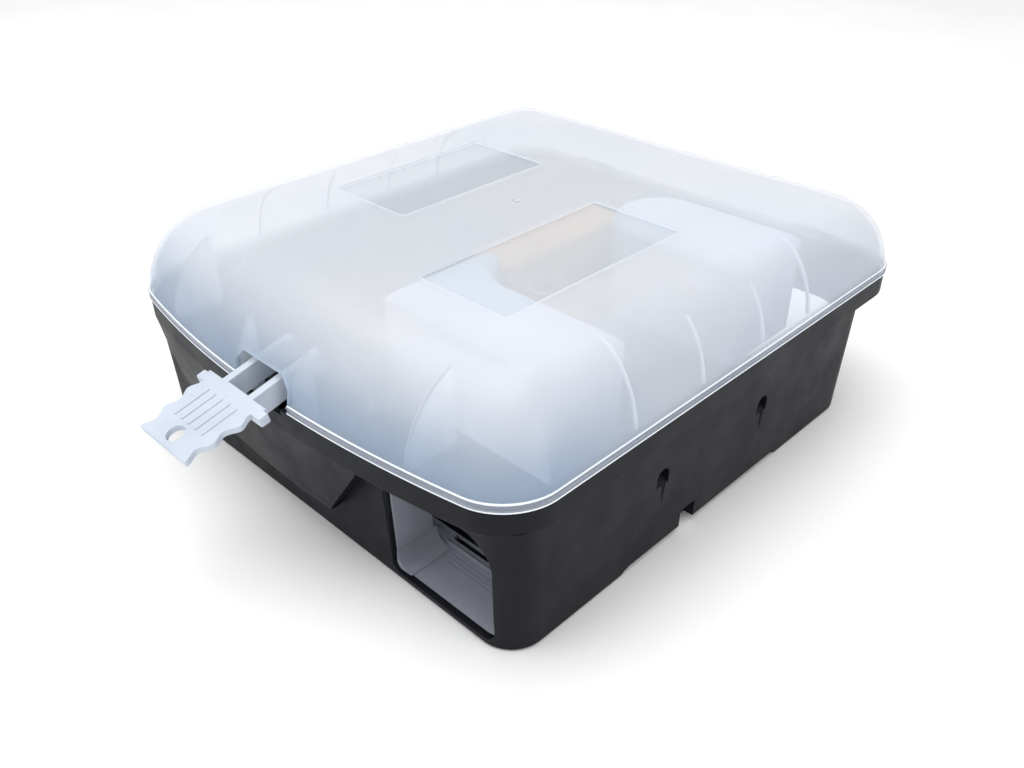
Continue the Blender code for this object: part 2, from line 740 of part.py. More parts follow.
def make_hinge_pin(side):
    """A headed pin through one hinge."""
    label = "left" if side < 0 else "right"
    reach = LID_LUG_HALF + LUG_WIDTH + 0.4
    middle = side * HINGE_X
    inner = middle - side * (reach + 1.5)
    outer = middle + side * (reach + GAP)
    pin = rod(f"hinge_pin_{label}", (inner, HINGE_Y, HINGE_Z), (outer + side * 0.5, HINGE_Y, HINGE_Z), PIN_RADIUS,
              finish="zinc_steel", sides=12)
    head = rod(f"pin_head_{label}", (outer, HINGE_Y, HINGE_Z), (outer + side * 1.6, HINGE_Y, HINGE_Z), 2.8, sides=14)
    join(pin, head)
    return pin


# ---------------------------------------------------------------- inside

def make_liner(label, wall_y, inward):
    """Pale ramp inside a door: a floor with two ridges and a side wall beside the opening."""
    start = wall_y + inward * 1.0
    end = start + inward * 36.0
    low_y, high_y = min(start, end), max(start, end)
    base = FLOOR_TOP
    liner = box(f"entry_liner_{label}", (38.0, low_y, base), (134.0, high_y, base + 1.9), finish="natural_pp")
    for number, offset in enumerate((28.0, 33.0)):
        a, b = sorted((start + inward * offset, start + inward * (offset + 2.0)))
        join(liner, box(f"liner_ridge_{label}_{number}", (38.0, a, base + 1.0), (134.0, b, base + 4.2)))
    a, b = sorted((start, start + inward * 24.0))
    jamb = box(f"liner_jamb_{label}", (DOOR_LEFT - 3.0, a, base + 0.5), (DOOR_LEFT + 0.8, b, 54.0))
    join(liner, jamb)
    add_boolean(liner, cavity_solid(f"liner_limit_{label}", GAP), "INTERSECT")
    return liner


def front_cover_plan(inset):
    """Plan of the front cover, with its hollowed inner corner."""
    left, right, front, rear = 18.0 + inset, 118.0 - inset, -108.0 + inset, -65.0 - inset
    points = [(left, front), (right, front), (right, rear)]
    centre_x, centre_y, radius = 52.0, -40.0, 25.0 + inset
    for step in range(6):
        angle = math.radians(270 - 75 * step / 5)
        points.append((centre_x + radius * math.cos(angle), centre_y + radius * math.sin(angle)))
    points.append((left, -46.0 - inset))
    return points


def rear_cover_plan(inset):
    """Plan of the rear cover: a finger with a round nose towards the bait."""
    right, centre_x, centre_y, radius = 118.0 - inset, 54.0, 46.0, 26.0 - inset
    points = [(right, centre_y + radius)]
    for step in range(11):
        angle = math.radians(90 + 180 * step / 10)
        points.append((centre_x + radius * math.cos(angle), centre_y + radius * math.sin(angle)))
    points.append((right, centre_y - radius))
    return points


def make_cover(label, outline):
    """A pale hood over a passage, open underneath."""
    cover = loft(f"passage_cover_{label}", [
        at_height(outline(0.0), COVER_BOTTOM),
        at_height(outline(0.0), COVER_TOP - 3.0),
        at_height(outline(3.0), COVER_TOP),
    ], finish="natural_pp")
    hollow = loft(f"cover_hollow_{label}", [
        at_height(outline(COVER_WALL), COVER_BOTTOM - 2.0),
        at_height(outline(COVER_WALL), COVER_TOP - 3.0 - COVER_WALL * 0.6),
        at_height(outline(3.0 + COVER_WALL * 0.6), COVER_TOP - COVER_WALL),
    ])
    cut(cover, hollow)
    return cover


def make_rod_rack():
    """The rack that clips to the floor and carries both bait rods."""
    low_x, high_x = ROD_X - 9.5, ROD_X + 9.5 - 1.0
    base = FLOOR_TOP + GAP
    rack = box("rod_rack", (low_x, POST_FRONT_Y - POST_THICK, base), (high_x, POST_REAR_Y + POST_THICK, base + 3.0),
               finish="black_pp")
    for label, y in (("front", POST_FRONT_Y - POST_THICK), ("rear", POST_REAR_Y)):
        join(rack, box(f"rack_post_{label}", (low_x, y, base), (high_x, y + POST_THICK, POST_TOP)))
    reach = (POST_FRONT_Y - 10.0, POST_REAR_Y + 10.0)
    lower, upper = ROD_HEIGHTS
    slot = ROD_RADIUS + 0.4
    cut(rack, rod("rack_hole_low", (ROD_X, reach[0], lower), (ROD_X, reach[1], lower), slot, sides=12))
    cut(rack, rod("rack_hole_high", (ROD_X, reach[0], upper), (ROD_X, reach[1], upper), slot, sides=12))
    cut(rack, box("rack_slot", (ROD_X - slot * 0.92, reach[0], upper), (ROD_X + slot * 0.92, reach[1], POST_TOP + 2.0)))
    return rack


def make_bait_rod(number, height):
    """A plated wire rod with a bent finger grip at its front end."""
    bend = 4.0
    front, rear = POST_FRONT_Y - POST_THICK - 2.4, POST_REAR_Y + POST_THICK + 5.0
    grip = 10.0
    curve = bpy.data.curves.new(f"bait_rod_{number}", "CURVE")
    curve.dimensions = "3D"
    curve.bevel_depth = ROD_RADIUS * MM
    curve.bevel_resolution = 3
    curve.use_fill_caps = True
    points = [(ROD_X, rear, height), (ROD_X, front + 0.0, height)]
    for step in range(1, 5):
        angle = math.radians(90 * step / 4)
        points.append((ROD_X - bend * (1 - math.cos(angle)), front - bend * math.sin(angle), height))
    points.append((ROD_X - bend - grip, front - bend, height))
    spline = curve.splines.new("POLY")
    spline.points.add(len(points) - 1)
    for point, place in zip(spline.points, points):
        point.co = (*(value * MM for value in place), 1.0)
    made = bpy.data.objects.new(curve.name, curve)
    PARTS.objects.link(made)
    curve.materials.append(make_material(curve.name, "zinc_steel"))
    return made


def make_bait_block(number, height, start):
    """A cast wax block with a hole for the rod."""
    half = BLOCK_SIDE / 2
    block = box(f"bait_block_{number}", (ROD_X - half, start, height - half),
                (ROD_X + half, start + BLOCK_LENGTH, height + half), finish="wax_bait")
    soften(block, 1.6)
    cut(block, rod(f"block_hole_{number}", (ROD_X, start - 2.0, height), (ROD_X, start + BLOCK_LENGTH + 2.0, height),
                   ROD_RADIUS + 1.0, sides=12))
    return block


def make_bait_tray():
    """A loose-bait tray on the floor of the left half."""
    left, right, front, rear = -124.0, -14.0, -84.0, 96.0
    base, top, lean, wall = FLOOR_TOP + GAP, 24.0, 4.0, 1.8

    def ring(z, inset):
        middle_x, middle_y = (left + right) / 2, (front + rear) / 2
        outline = plan((right - left) / 2 - inset, front - middle_y + inset, rear - middle_y - inset, 10.0,
                       arc_steps=3, front_steps=2)
        return [(x + middle_x, y + middle_y, z) for x, y in outline]

    tray = loft("bait_tray", [ring(base, lean), ring(top - 1.6, 0.6), ring(top - 1.6, -1.2), ring(top, -1.2)],
                finish="black_pp")
    cut(tray, loft("tray_hollow", [ring(base + wall, lean + wall), ring(top + 2.0, wall)]))
    join(tray, box("tray_divider", (left + 3.0, 5.0, base + wall - 0.5), (right - 3.0, 6.8, 16.0)))
    return tray


def main():
    """Build every piece of the station."""
    make_tub()
    make_lid()
    make_key()
    make_lock_housing()
    for side in (-1, 1):
        make_lock_screw(side)
        make_latch(side)
        make_spring(side)
        make_hinge_pin(side)
    make_liner("front", TUB_FRONT, 1)
    make_liner("rear", TUB_REAR, -1)
    make_cover("front", front_cover_plan)
    make_cover("rear", rear_cover_plan)
    make_rod_rack()
    number = 0
    for rod_number, height in enumerate(ROD_HEIGHTS, start=1):
        make_bait_rod(rod_number, height)
        for place in range(BLOCKS_PER_ROD):
            number += 1
            make_bait_block(number, height, BLOCK_START + BLOCK_PITCH * place)
    make_bait_tray()


main()
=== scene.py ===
"""Looks for a rodent bait station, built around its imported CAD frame.

A black polypropylene tub carries a frosted, translucent lid on two hinge pins. A forked
key lies in the lid's mouth and presses back two sprung latches. Inside are pale passage
covers, wax blocks on wire rods and a loose-bait tray.

Lengths in this file are millimetres in the CAD's own axes; MM turns them into metres.
"""
from __future__ import annotations

import json
import logging
import math
from dataclasses import dataclass
from enum import Enum
from typing import Any, Iterable, Sequence

import bmesh
import bpy
from mathutils import Matrix, Vector
from mathutils.bvhtree import BVHTree


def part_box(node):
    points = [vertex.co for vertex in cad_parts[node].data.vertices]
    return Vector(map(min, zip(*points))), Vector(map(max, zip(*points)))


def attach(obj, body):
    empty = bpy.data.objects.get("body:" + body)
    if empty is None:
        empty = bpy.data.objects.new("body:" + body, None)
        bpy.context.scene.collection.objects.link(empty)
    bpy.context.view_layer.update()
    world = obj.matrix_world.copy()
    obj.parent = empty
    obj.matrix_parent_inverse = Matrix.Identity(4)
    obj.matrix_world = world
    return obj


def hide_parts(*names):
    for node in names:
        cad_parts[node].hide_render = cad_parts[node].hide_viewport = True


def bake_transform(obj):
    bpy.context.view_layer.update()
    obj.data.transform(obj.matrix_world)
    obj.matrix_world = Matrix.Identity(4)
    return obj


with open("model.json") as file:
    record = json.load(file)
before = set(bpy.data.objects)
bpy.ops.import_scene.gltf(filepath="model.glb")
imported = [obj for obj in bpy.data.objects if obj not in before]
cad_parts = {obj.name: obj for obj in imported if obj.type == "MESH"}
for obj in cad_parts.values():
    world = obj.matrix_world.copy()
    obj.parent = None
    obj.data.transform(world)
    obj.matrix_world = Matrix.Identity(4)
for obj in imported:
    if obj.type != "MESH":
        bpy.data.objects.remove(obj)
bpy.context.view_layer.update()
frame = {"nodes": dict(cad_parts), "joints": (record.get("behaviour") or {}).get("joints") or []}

MM = 0.001
LOG = logging.getLogger("bait_station")
Point2 = tuple[float, float]
Point3 = tuple[float, float, float]


class Body(Enum):
    """The bodies that pieces ride on."""

    STATION = "station"
    LID = "lid"
    KEY = "key"
    LATCH_LEFT = "latch_left"
    LATCH_RIGHT = "latch_right"


class Slot(Enum):
    """The record's material slots."""

    TUB = "tub_plastic"
    LID = "lid_plastic"
    KEY = "key_plastic"
    INSERT = "insert_plastic"
    LOCK = "lock_plastic"
    STEEL = "zinc_steel"
    WAX = "wax_bait"


def node_box(node: str) -> tuple[Vector, Vector]:
    """Corners of a CAD node's box in millimetres.

    Args:
        node: the CAD node's name.

    Returns:
        The lowest and the highest corner.
    """
    low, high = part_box(node)
    return Vector(low) / MM, Vector(high) / MM


LID_HIGH = node_box("lid")[1]
HINGE = next(joint for joint in frame["joints"] if joint["name"] == "lid_hinge")
HINGE_X = 83.0  # middle of each hinge, left and right
HINGE_Y, HINGE_Z = HINGE["pos_m"][1] / MM, HINGE["pos_m"][2] / MM
HINGE_BORE = 1.8  # radius of the bores that the pins run in


@dataclass(frozen=True)
class RimSize:
    """Plan of the line where the lid meets the tub."""

    half_width: float = LID_HIGH.x
    half_depth: float = 150.0
    bow: float = 15.4
    z: float = 76.0
    radius: float = 22.7


RIM = RimSize()


# ---------------------------------------------------------------- materials

def linear(code: str) -> tuple[float, float, float, float]:
    """Turn an sRGB hex colour into a linear RGBA colour.

    Args:
        code: six hex digits after a hash sign.

    Returns:
        Linear red, green, blue and an alpha of 1.
    """
    values = [int(code[i:i + 2], 16) / 255 for i in (1, 3, 5)]
    red, green, blue = (v / 12.92 if v <= 0.04045 else ((v + 0.055) / 1.055) ** 2.4 for v in values)
    return red, green, blue, 1.0


def per_metre(size_mm: float) -> float:
    """Texture scale that gives a pattern its real size in millimetres."""
    return 1000 / size_mm


def add_node(tree: bpy.types.NodeTree, kind: str, links: dict[Any, Any] | None = None,
             **settings: Any) -> bpy.types.Node:
    """Add a node with its settings and links.

    Args:
        tree: the tree to add to.
        kind: the node's bl_idname.
        links: input name or number mapped to an output socket or a plain value.
        settings: attributes to set on the node first.

    Returns:
        The new node.
    """
    node = tree.nodes.new(kind)
    for key, value in settings.items():
        setattr(node, key, value)
    for key, value in (links or {}).items():
        if isinstance(value, bpy.types.NodeSocket):
            tree.links.new(value, node.inputs[key])
        else:
            node.inputs[key].default_value = value
    return node


def start_material(name: str) -> tuple[bpy.types.Material, bpy.types.NodeTree, bpy.types.Node, Any]:
    """Start a material.

    Args:
        name: the material's name.

    Returns:
        The material, its tree, its Principled node and the Object coordinate socket.
    """
    material = bpy.data.materials.new(name)
    material.use_nodes = True
    tree = material.node_tree
    shader = tree.nodes["Principled BSDF"]
    place = add_node(tree, "ShaderNodeTexCoord")
    return material, tree, shader, place.outputs["Object"]


def ramp(tree: bpy.types.NodeTree, factor: Any, stops: Sequence[tuple[float, str]]) -> Any:
    """Add a colour ramp.

    Args:
        tree: the tree to add to.
        factor: the socket that drives it.
        stops: pairs of position and sRGB hex colour, in order.

    Returns:
        The ramp's colour socket.
    """
    node = add_node(tree, "ShaderNodeValToRGB", {"Fac": factor})
    elements = node.color_ramp.elements
    while len(elements) < len(stops):
        elements.new(0.5)
    for element, (position, code) in zip(elements, stops):
        element.position = position
        element.color = linear(code)
    return node.outputs["Color"]


@dataclass(frozen=True)
class MouldedPlastic:
    """Injection-moulded polypropylene or acetal.

    Slow drifts of colour come from the melt's flow, and the fine grain is the spark-eroded
    texture of the tool, which scatters the highlight. The real grain is about 0.1 mm; it is
    drawn at 0.7 mm so that it shows.

    Attributes:
        name: the material's name.
        stops: colour ramp of the drift.
        drift_mm: size of the drift of colour.
        smudge_ratio: how many times finer the drift of gloss is.
        roughness: middle roughness.
        roughness_spread: how far roughness drifts to each side.
        grain_mm: size of the grain.
        grain_depth_mm: its depth.
        wave_mm: size of the slow waves that cooling leaves in a wall.
        wave_depth_mm: their depth.
        clearness: share of light that passes straight through the wall.
        specular: specular level.
        ior: refractive index of polypropylene.
        shade_low_stops: colour ramp of painted shade low down, where the wall gets less light from above
            and is seen edge on: darker and bluer.
        shade_low_mm: heights where that painted shade is full and where it ends.
        shade_front_mm: Y where the painted shade starts to grow to its full share, and where it has it.
        shade_side_share: the painted shade's share away from the front.
    """

    name: str
    stops: tuple[tuple[float, str], ...]
    drift_mm: float = 70.0
    smudge_ratio: float = 2.6
    roughness: float = 0.45
    roughness_spread: float = 0.08
    grain_mm: float = 0.7
    grain_depth_mm: float = 0.02
    wave_mm: float = 26.0
    wave_depth_mm: float = 0.05
    clearness: float = 0.0
    specular: float = 0.5
    ior: float = 1.49
    shade_low_stops: tuple[tuple[float, str], ...] = ()
    shade_low_mm: Point2 = (80.0, 120.0)
    shade_front_mm: Point2 = (-60.0, -125.0)
    shade_side_share: float = 0.3

    def build(self) -> bpy.types.Material:
        """Make the material.

        Returns:
            The finished material.
        """
        material, tree, shader, place = start_material(self.name)
        drift = add_node(tree, "ShaderNodeTexNoise",
                         {"Vector": place, "Scale": per_metre(self.drift_mm), "Detail": 3.0,
                          "Roughness": 0.5})
        colour = ramp(tree, drift.outputs["Fac"], self.stops)
        # Painted shade: a darker, bluer ramp mixed in low down, fullest at the front.
        if self.shade_low_stops:
            height = add_node(tree, "ShaderNodeSeparateXYZ", {"Vector": place})
            share = add_node(tree, "ShaderNodeMapRange",
                             {"Value": height.outputs["Z"], "From Min": self.shade_low_mm[1] * MM,
                              "From Max": self.shade_low_mm[0] * MM}, interpolation_type="SMOOTHSTEP")
            facing = add_node(tree, "ShaderNodeMapRange",
                              {"Value": height.outputs["Y"], "From Min": self.shade_front_mm[0] * MM,
                               "From Max": self.shade_front_mm[1] * MM, "To Min": self.shade_side_share})
            both = add_node(tree, "ShaderNodeMath",
                            {0: share.outputs["Result"], 1: facing.outputs["Result"]},
                            operation="MULTIPLY")
            low = ramp(tree, drift.outputs["Fac"], self.shade_low_stops)
            shaded_colour = add_node(tree, "ShaderNodeMix", {0: both.outputs[0], 6: colour, 7: low},
                             data_type="RGBA")
            colour = shaded_colour.outputs[2]
        tree.links.new(colour, shader.inputs["Base Color"])
        smudge = add_node(tree, "ShaderNodeTexNoise",
                          {"Vector": place, "Scale": self.smudge_ratio * per_metre(self.drift_mm),
                           "Detail": 4.0, "Roughness": 0.6})
        gloss = add_node(tree, "ShaderNodeMapRange",
                         {"Value": smudge.outputs["Fac"], "From Min": 0.3, "From Max": 0.7,
                          "To Min": self.roughness - self.roughness_spread,
                          "To Max": self.roughness + self.roughness_spread})
        tree.links.new(gloss.outputs["Result"], shader.inputs["Roughness"])
        wave = add_node(tree, "ShaderNodeTexNoise",
                        {"Vector": place, "Scale": per_metre(self.wave_mm), "Detail": 1.0})
        slow = add_node(tree, "ShaderNodeBump",
                        {"Strength": 1.0, "Distance": self.wave_depth_mm * MM,
                         "Height": wave.outputs["Fac"]})
        grain = add_node(tree, "ShaderNodeTexNoise",
                         {"Vector": place, "Scale": per_metre(self.grain_mm), "Detail": 2.0})
        fine = add_node(tree, "ShaderNodeBump",
                        {"Strength": 1.0, "Distance": self.grain_depth_mm * MM,
                         "Height": grain.outputs["Fac"], "Normal": slow.outputs["Normal"]})
        tree.links.new(fine.outputs["Normal"], shader.inputs["Normal"])
        shader.inputs["IOR"].default_value = self.ior
        shader.inputs["Specular IOR Level"].default_value = self.specular
        shader.inputs["Alpha"].default_value = 1.0 - self.clearness
        return material


@dataclass(frozen=True)
class ZincPlate:
    """Bright zinc-plated steel wire, pins and screws.

    The plating crystallises in small facets, which give a pale metal a faint, patchy gleam.
    """

    name: str = "bright_zinc_plated_steel"
    stops: tuple[tuple[float, str], ...] = ((0.3, "#b4b8bd"), (0.7, "#d3d6da"))
    roughness: float = 0.3
    crystal_mm: float = 1.6

    def build(self) -> bpy.types.Material:
        """Make the material.

        Returns:
            The finished material.
        """
        material, tree, shader, place = start_material(self.name)
        crystal = add_node(tree, "ShaderNodeTexVoronoi",
                           {"Vector": place, "Scale": per_metre(self.crystal_mm)})
        tint = add_node(tree, "ShaderNodeSeparateColor", {"Color": crystal.outputs["Color"]})
        tree.links.new(ramp(tree, tint.outputs["Red"], self.stops), shader.inputs["Base Color"])
        gloss = add_node(tree, "ShaderNodeMapRange",
                         {"Value": tint.outputs["Green"], "To Min": self.roughness - 0.08,
                          "To Max": self.roughness + 0.1})
        tree.links.new(gloss.outputs["Result"], shader.inputs["Roughness"])
        shader.inputs["Metallic"].default_value = 1.0
        return material


@dataclass(frozen=True)
class WaxBait:
    """Cast paraffin bait: soft waxy body with crushed grain showing at the surface."""

    name: str = "cast_paraffin_grain_bait"
    wax: tuple[tuple[float, str], ...] = ((0.3, "#d8a055"), (0.7, "#ebb974"))
    drift_per_metre: float = 70.0
    grain: str = "#f0cf98"
    grain_mm: float = 3.2
    grain_height_mm: float = 0.35

    def build(self) -> bpy.types.Material:
        """Make the material.

        Returns:
            The finished material.
        """
        material, tree, shader, place = start_material(self.name)
        drift = add_node(tree, "ShaderNodeTexNoise",
                         {"Vector": place, "Scale": self.drift_per_metre, "Detail": 4.0})
        wax = ramp(tree, drift.outputs["Fac"], self.wax)
        bits = add_node(tree, "ShaderNodeTexVoronoi",
                        {"Vector": place, "Scale": per_metre(self.grain_mm)})
        share = add_node(tree, "ShaderNodeMapRange",
                         {"Value": bits.outputs["Distance"], "From Min": 0.32, "From Max": 0.2,
                          "To Min": 0.0, "To Max": 0.85})
        mix = add_node(tree, "ShaderNodeMix",
                       {0: share.outputs["Result"], 6: wax, 7: linear(self.grain)}, data_type="RGBA")
        tree.links.new(mix.outputs[2], shader.inputs["Base Color"])
        rough = add_node(tree, "ShaderNodeMapRange",
                         {"Value": drift.outputs["Fac"], "To Min": 0.42, "To Max": 0.68})
        tree.links.new(rough.outputs["Result"], shader.inputs["Roughness"])
        bump = add_node(tree, "ShaderNodeBump",
                        {"Strength": 0.8, "Distance": self.grain_height_mm * MM,
                         "Height": share.outputs["Result"]})
        tree.links.new(bump.outputs["Normal"], shader.inputs["Normal"])
        shader.inputs["Subsurface Weight"].default_value = 0.2
        shader.inputs["Subsurface Radius"].default_value = (4 * MM, 2 * MM, 1 * MM)
        shader.inputs["Subsurface Scale"].default_value = 1.0
        return material


@dataclass(frozen=True)
class MattePaper:
    """The studio's pale paper floor, with the faintest mottling."""

    name: str = "pale_background_paper"
    stops: tuple[tuple[float, str], ...] = ((0.35, "#fbfbfb"), (0.65, "#ffffff"))
    drift_per_metre: float = 6.0

    def build(self) -> bpy.types.Material:
        """Make the material.

        Returns:
            The finished material.
        """
        material, tree, shader, place = start_material(self.name)
        drift = add_node(tree, "ShaderNodeTexNoise",
                         {"Vector": place, "Scale": self.drift_per_metre, "Detail": 3.0})
        tree.links.new(ramp(tree, drift.outputs["Fac"], self.stops), shader.inputs["Base Color"])
        shader.inputs["Roughness"].default_value = 0.9
        shader.inputs["Specular IOR Level"].default_value = 0.1
        return material


class Finishes:
    """Every finish of the station, built once."""

    def __init__(self) -> None:
        """Build the materials."""
        # Moulded in a spark-eroded tool: near black, with a broad, dull highlight.
        self.tub = MouldedPlastic("black_polypropylene_spark_textured",
                                  ((0.3, "#0b0c12"), (0.7, "#11131b")), roughness=0.48, specular=0.16,
                                  grain_mm=0.8, grain_depth_mm=0.03, wave_depth_mm=0.08).build()
        # Unpigmented and frosted: milky, pale, shapes inside show as soft shadows. Low down, most at the
        # front, painted shade makes it darker and bluer.
        self.lid = MouldedPlastic("natural_polypropylene_frosted",
                                  ((0.3, "#eaeff8"), (0.7, "#f2f4fa")), drift_mm=110.0, roughness=0.27,
                                  roughness_spread=0.0, grain_depth_mm=0.001, wave_mm=60.0,
                                  wave_depth_mm=0.12, clearness=0.53,
                                  shade_low_stops=((0.3, "#a2b9d5"), (0.7, "#b3c8e0"))).build()
        # The same wall made thin and polished: clearer and glossier.
        self.window = MouldedPlastic("natural_polypropylene_clear_window",
                                     ((0.3, "#dde7f0"), (0.7, "#e5edf4")), drift_mm=90.0, roughness=0.16,
                                     roughness_spread=0.02, grain_depth_mm=0.002, wave_mm=40.0,
                                     wave_depth_mm=0.05, clearness=0.64).build()
        # The lip lies on the black collar, which greys it.
        self.lip = MouldedPlastic("natural_polypropylene_lip_over_black",
                                  ((0.3, "#8f96a4"), (0.7, "#a0a6b2")), drift_mm=60.0, roughness=0.25,
                                  roughness_spread=0.03, grain_depth_mm=0.004, clearness=0.35).build()
        # Where the wall is thick or seen end on, no light passes: nearly white lines.
        self.rib = MouldedPlastic("natural_polypropylene_thick_rib",
                                  ((0.3, "#e8eff7"), (0.7, "#f1f5fa")), roughness=0.3,
                                  grain_depth_mm=0.005).build()
        # Small steps and tool marks: a little lighter than the wall they are on. Round the windows and
        # the mouth, this finish also draws painted highlights.
        self.edge = MouldedPlastic("natural_polypropylene_step_edge",
                                   ((0.3, "#dfe7f1"), (0.7, "#e8eef6")), roughness=0.3,
                                   grain_depth_mm=0.004, clearness=0.36).build()
        # Satin moulding 3 mm thick: pale blue-grey, hardly see-through.
        self.key = MouldedPlastic("natural_polypropylene_satin_key",
                                  ((0.3, "#c3cddc"), (0.7, "#d2dae6")), drift_mm=30.0, roughness=0.33,
                                  grain_depth_mm=0.01, clearness=0.12).build()
        # Thin covers over the passages: even and pale, seen only through the lid.
        self.insert = MouldedPlastic("natural_polypropylene_thin_insert",
                                     ((0.3, "#c4ccda"), (0.7, "#d1d9e4")), drift_mm=50.0, roughness=0.38,
                                     grain_depth_mm=0.012).build()
        # Door ramps over black plastic: grey, with a soft sheen.
        self.liner = MouldedPlastic("natural_polypropylene_door_ramp",
                                    ((0.3, "#9da1ad"), (0.7, "#b0b4bf")), drift_mm=40.0, roughness=0.34,
                                    grain_depth_mm=0.02, clearness=0.25).build()
        # Acetal is harder and glossier than the tub round it.
        self.lock = MouldedPlastic("black_acetal_satin", ((0.3, "#131417"), (0.7, "#1a1b1f")),
                                   drift_mm=25.0, roughness=0.3, specular=0.35,
                                   grain_depth_mm=0.01).build()
        self.steel = ZincPlate().build()
        self.wax = WaxBait().build()
        self.paper = MattePaper().build()


# ---------------------------------------------------------------- mesh tools

def bow_at(x: float) -> float:
    """How far the front stands out from its corner line at x."""
    return RIM.bow * max(0.0, 1.0 - (x / RIM.half_width) ** 2)


def plan(half_x: float, front: float, rear: float, radius: float, bowed: bool = False,
         arc_steps: int = 12, front_steps: int = 28) -> list[Point2]:
    """Rounded plan outline, counter-clockwise.

    Args:
        half_x: half the width.
        front: Y of the front corner line.
        rear: Y of the rear line.
        radius: corner radius.
        bowed: True to curve the front out.
        arc_steps: steps in each corner.
        front_steps: steps along the front.

    Returns:
        The outline's points.
    """
    corners = ((half_x - radius, rear - radius, 0), (radius - half_x, rear - radius, 90),
               (radius - half_x, front + radius, 180), (half_x - radius, front + radius, 270))
    points: list[Point2] = []
    for x, y, start in corners:
        for step in range(arc_steps + 1):
            angle = math.radians(start + 90 * step / arc_steps)
            points.append((x + radius * math.cos(angle), y + radius * math.sin(angle)))
        if start == 180:
            span = 2 * (half_x - radius)
            points += [(x + span * step / front_steps, front) for step in range(1, front_steps)]
    if not bowed:
        return points
    edge = front + radius + 0.01
    return [(x, y - bow_at(x)) if y < edge else (x, y) for x, y in points]


def rim_plan(inset: float) -> list[Point2]:
    """The bowed rim outline, moved in by inset."""
    return plan(RIM.half_width - inset, inset - RIM.half_depth, RIM.half_depth - inset,
                max(RIM.radius - inset, 3.0), bowed=True)


def at_height(points: Iterable[Point2], z: float) -> list[Point3]:
    """Lift a flat outline to height z."""
    return [(x, y, z) for x, y in points]


def to_mesh(name: str, bm: bmesh.types.BMesh) -> bpy.types.Mesh:
    """Turn a bmesh in millimetres into a mesh in metres, and free it.

    Args:
        name: the mesh's name.
        bm: the bmesh.

    Returns:
        The new mesh.
    """
    bmesh.ops.scale(bm, vec=(MM, MM, MM), verts=bm.verts)
    mesh = bpy.data.meshes.new(name)
    bm.to_mesh(mesh)
    bm.free()
    return mesh


def add_object(name: str, mesh: bpy.types.Mesh) -> bpy.types.Object:
    """Link a mesh to the scene as an object at the origin.

    Args:
        name: the object's name.
        mesh: its mesh.

    Returns:
        The new object.
    """
    made = bpy.data.objects.new(name, mesh)
    bpy.context.scene.collection.objects.link(made)
    return made


def skin(name: str, rings: Sequence[Sequence[Point3]], low_cap: bool = True,
         high_cap: bool = True) -> bpy.types.Object:
    """Skin rings of equal counts.

    Args:
        name: the object's name.
        rings: closed rings, in order.
        low_cap: close the first ring.
        high_cap: close the last ring.

    Returns:
        The new object.
    """
    bm = bmesh.new()
    loops = [[bm.verts.new(point) for point in ring] for ring in rings]
    count = len(loops[0])
    for lower, upper in zip(loops, loops[1:]):
        for i in range(count):
            after = (i + 1) % count
            bm.faces.new((lower[i], lower[after], upper[after], upper[i]))
    if low_cap:
        bm.faces.new(reversed(loops[0]))
    if high_cap:
        bm.faces.new(loops[-1])
    bmesh.ops.recalc_face_normals(bm, faces=bm.faces)
    return add_object(name, to_mesh(name, bm))


def prism(name: str, points: Sequence[Point2], low: float, high: float, axis: str = "Z",
          bevel: float = 0.0) -> bpy.types.Object:
    """Extrude a flat outline along an axis.

    Args:
        name: the object's name.
        points: the outline; X and Y for axis Z, Y and Z for axis X, X and Z for axis Y.
        low: the first level.
        high: the last level.
        axis: the letter of the axis.
        bevel: width of the rounded edges.

    Returns:
        The new object.
    """
    def place(a: float, b: float, level: float) -> Point3:
        """Put an outline's point at a level."""
        return {"Z": (a, b, level), "X": (level, a, b), "Y": (a, level, b)}[axis]

    made = skin(name, [[place(a, b, level) for a, b in points] for level in (low, high)])
    if bevel:
        round_edges(made, bevel)
    return made


def box(name: str, low: Sequence[float], high: Sequence[float],
        bevel: float = 0.0) -> bpy.types.Object:
    """A box between two corners, with rounded edges when bevel is given.

    Args:
        name: the object's name.
        low: one corner.
        high: the corner opposite it.
        bevel: width of the rounded edges.

    Returns:
        The new object.
    """
    xs, ys = sorted((low[0], high[0])), sorted((low[1], high[1]))
    outline = ((xs[0], ys[0]), (xs[1], ys[0]), (xs[1], ys[1]), (xs[0], ys[1]))
    return prism(name, outline, low[2], high[2], bevel=bevel)


def rod(name: str, start: Sequence[float], end: Sequence[float], radius: float,
        end_radius: float | None = None, sides: int = 32, bevel: float = 0.0) -> bpy.types.Object:
    """A cylinder or cone between two points.

    Args:
        name: the object's name.
        start: middle of the first end.
        end: middle of the last end.
        radius: radius at the start.
        end_radius: radius at the end, where it differs.
        sides: sides of the round.
        bevel: width of the rounded edges.

    Returns:
        The new object.
    """
    first, last = Vector(start), Vector(end)
    turn = (last - first).to_track_quat("Z", "Y").to_matrix().to_4x4()
    matrix = Matrix.Translation((first + last) / 2) @ turn
    bm = bmesh.new()
    bmesh.ops.create_cone(bm, cap_ends=True, segments=sides, radius1=radius,
                          radius2=radius if end_radius is None else end_radius,
                          depth=(last - first).length, matrix=matrix)
    made = add_object(name, to_mesh(name, bm))
    if bevel:
        round_edges(made, bevel)
    return made


def bake_modifiers(obj: bpy.types.Object) -> bpy.types.Object:
    """Replace an object's mesh by its evaluated one, and remove its modifiers.

    Args:
        obj: the object.

    Returns:
        The same object.
    """
    bpy.context.view_layer.update()
    evaluated = obj.evaluated_get(bpy.context.evaluated_depsgraph_get())
    mesh = bpy.data.meshes.new_from_object(evaluated)
    mesh.name = obj.name
    obj.modifiers.clear()
    obj.data = mesh
    return obj


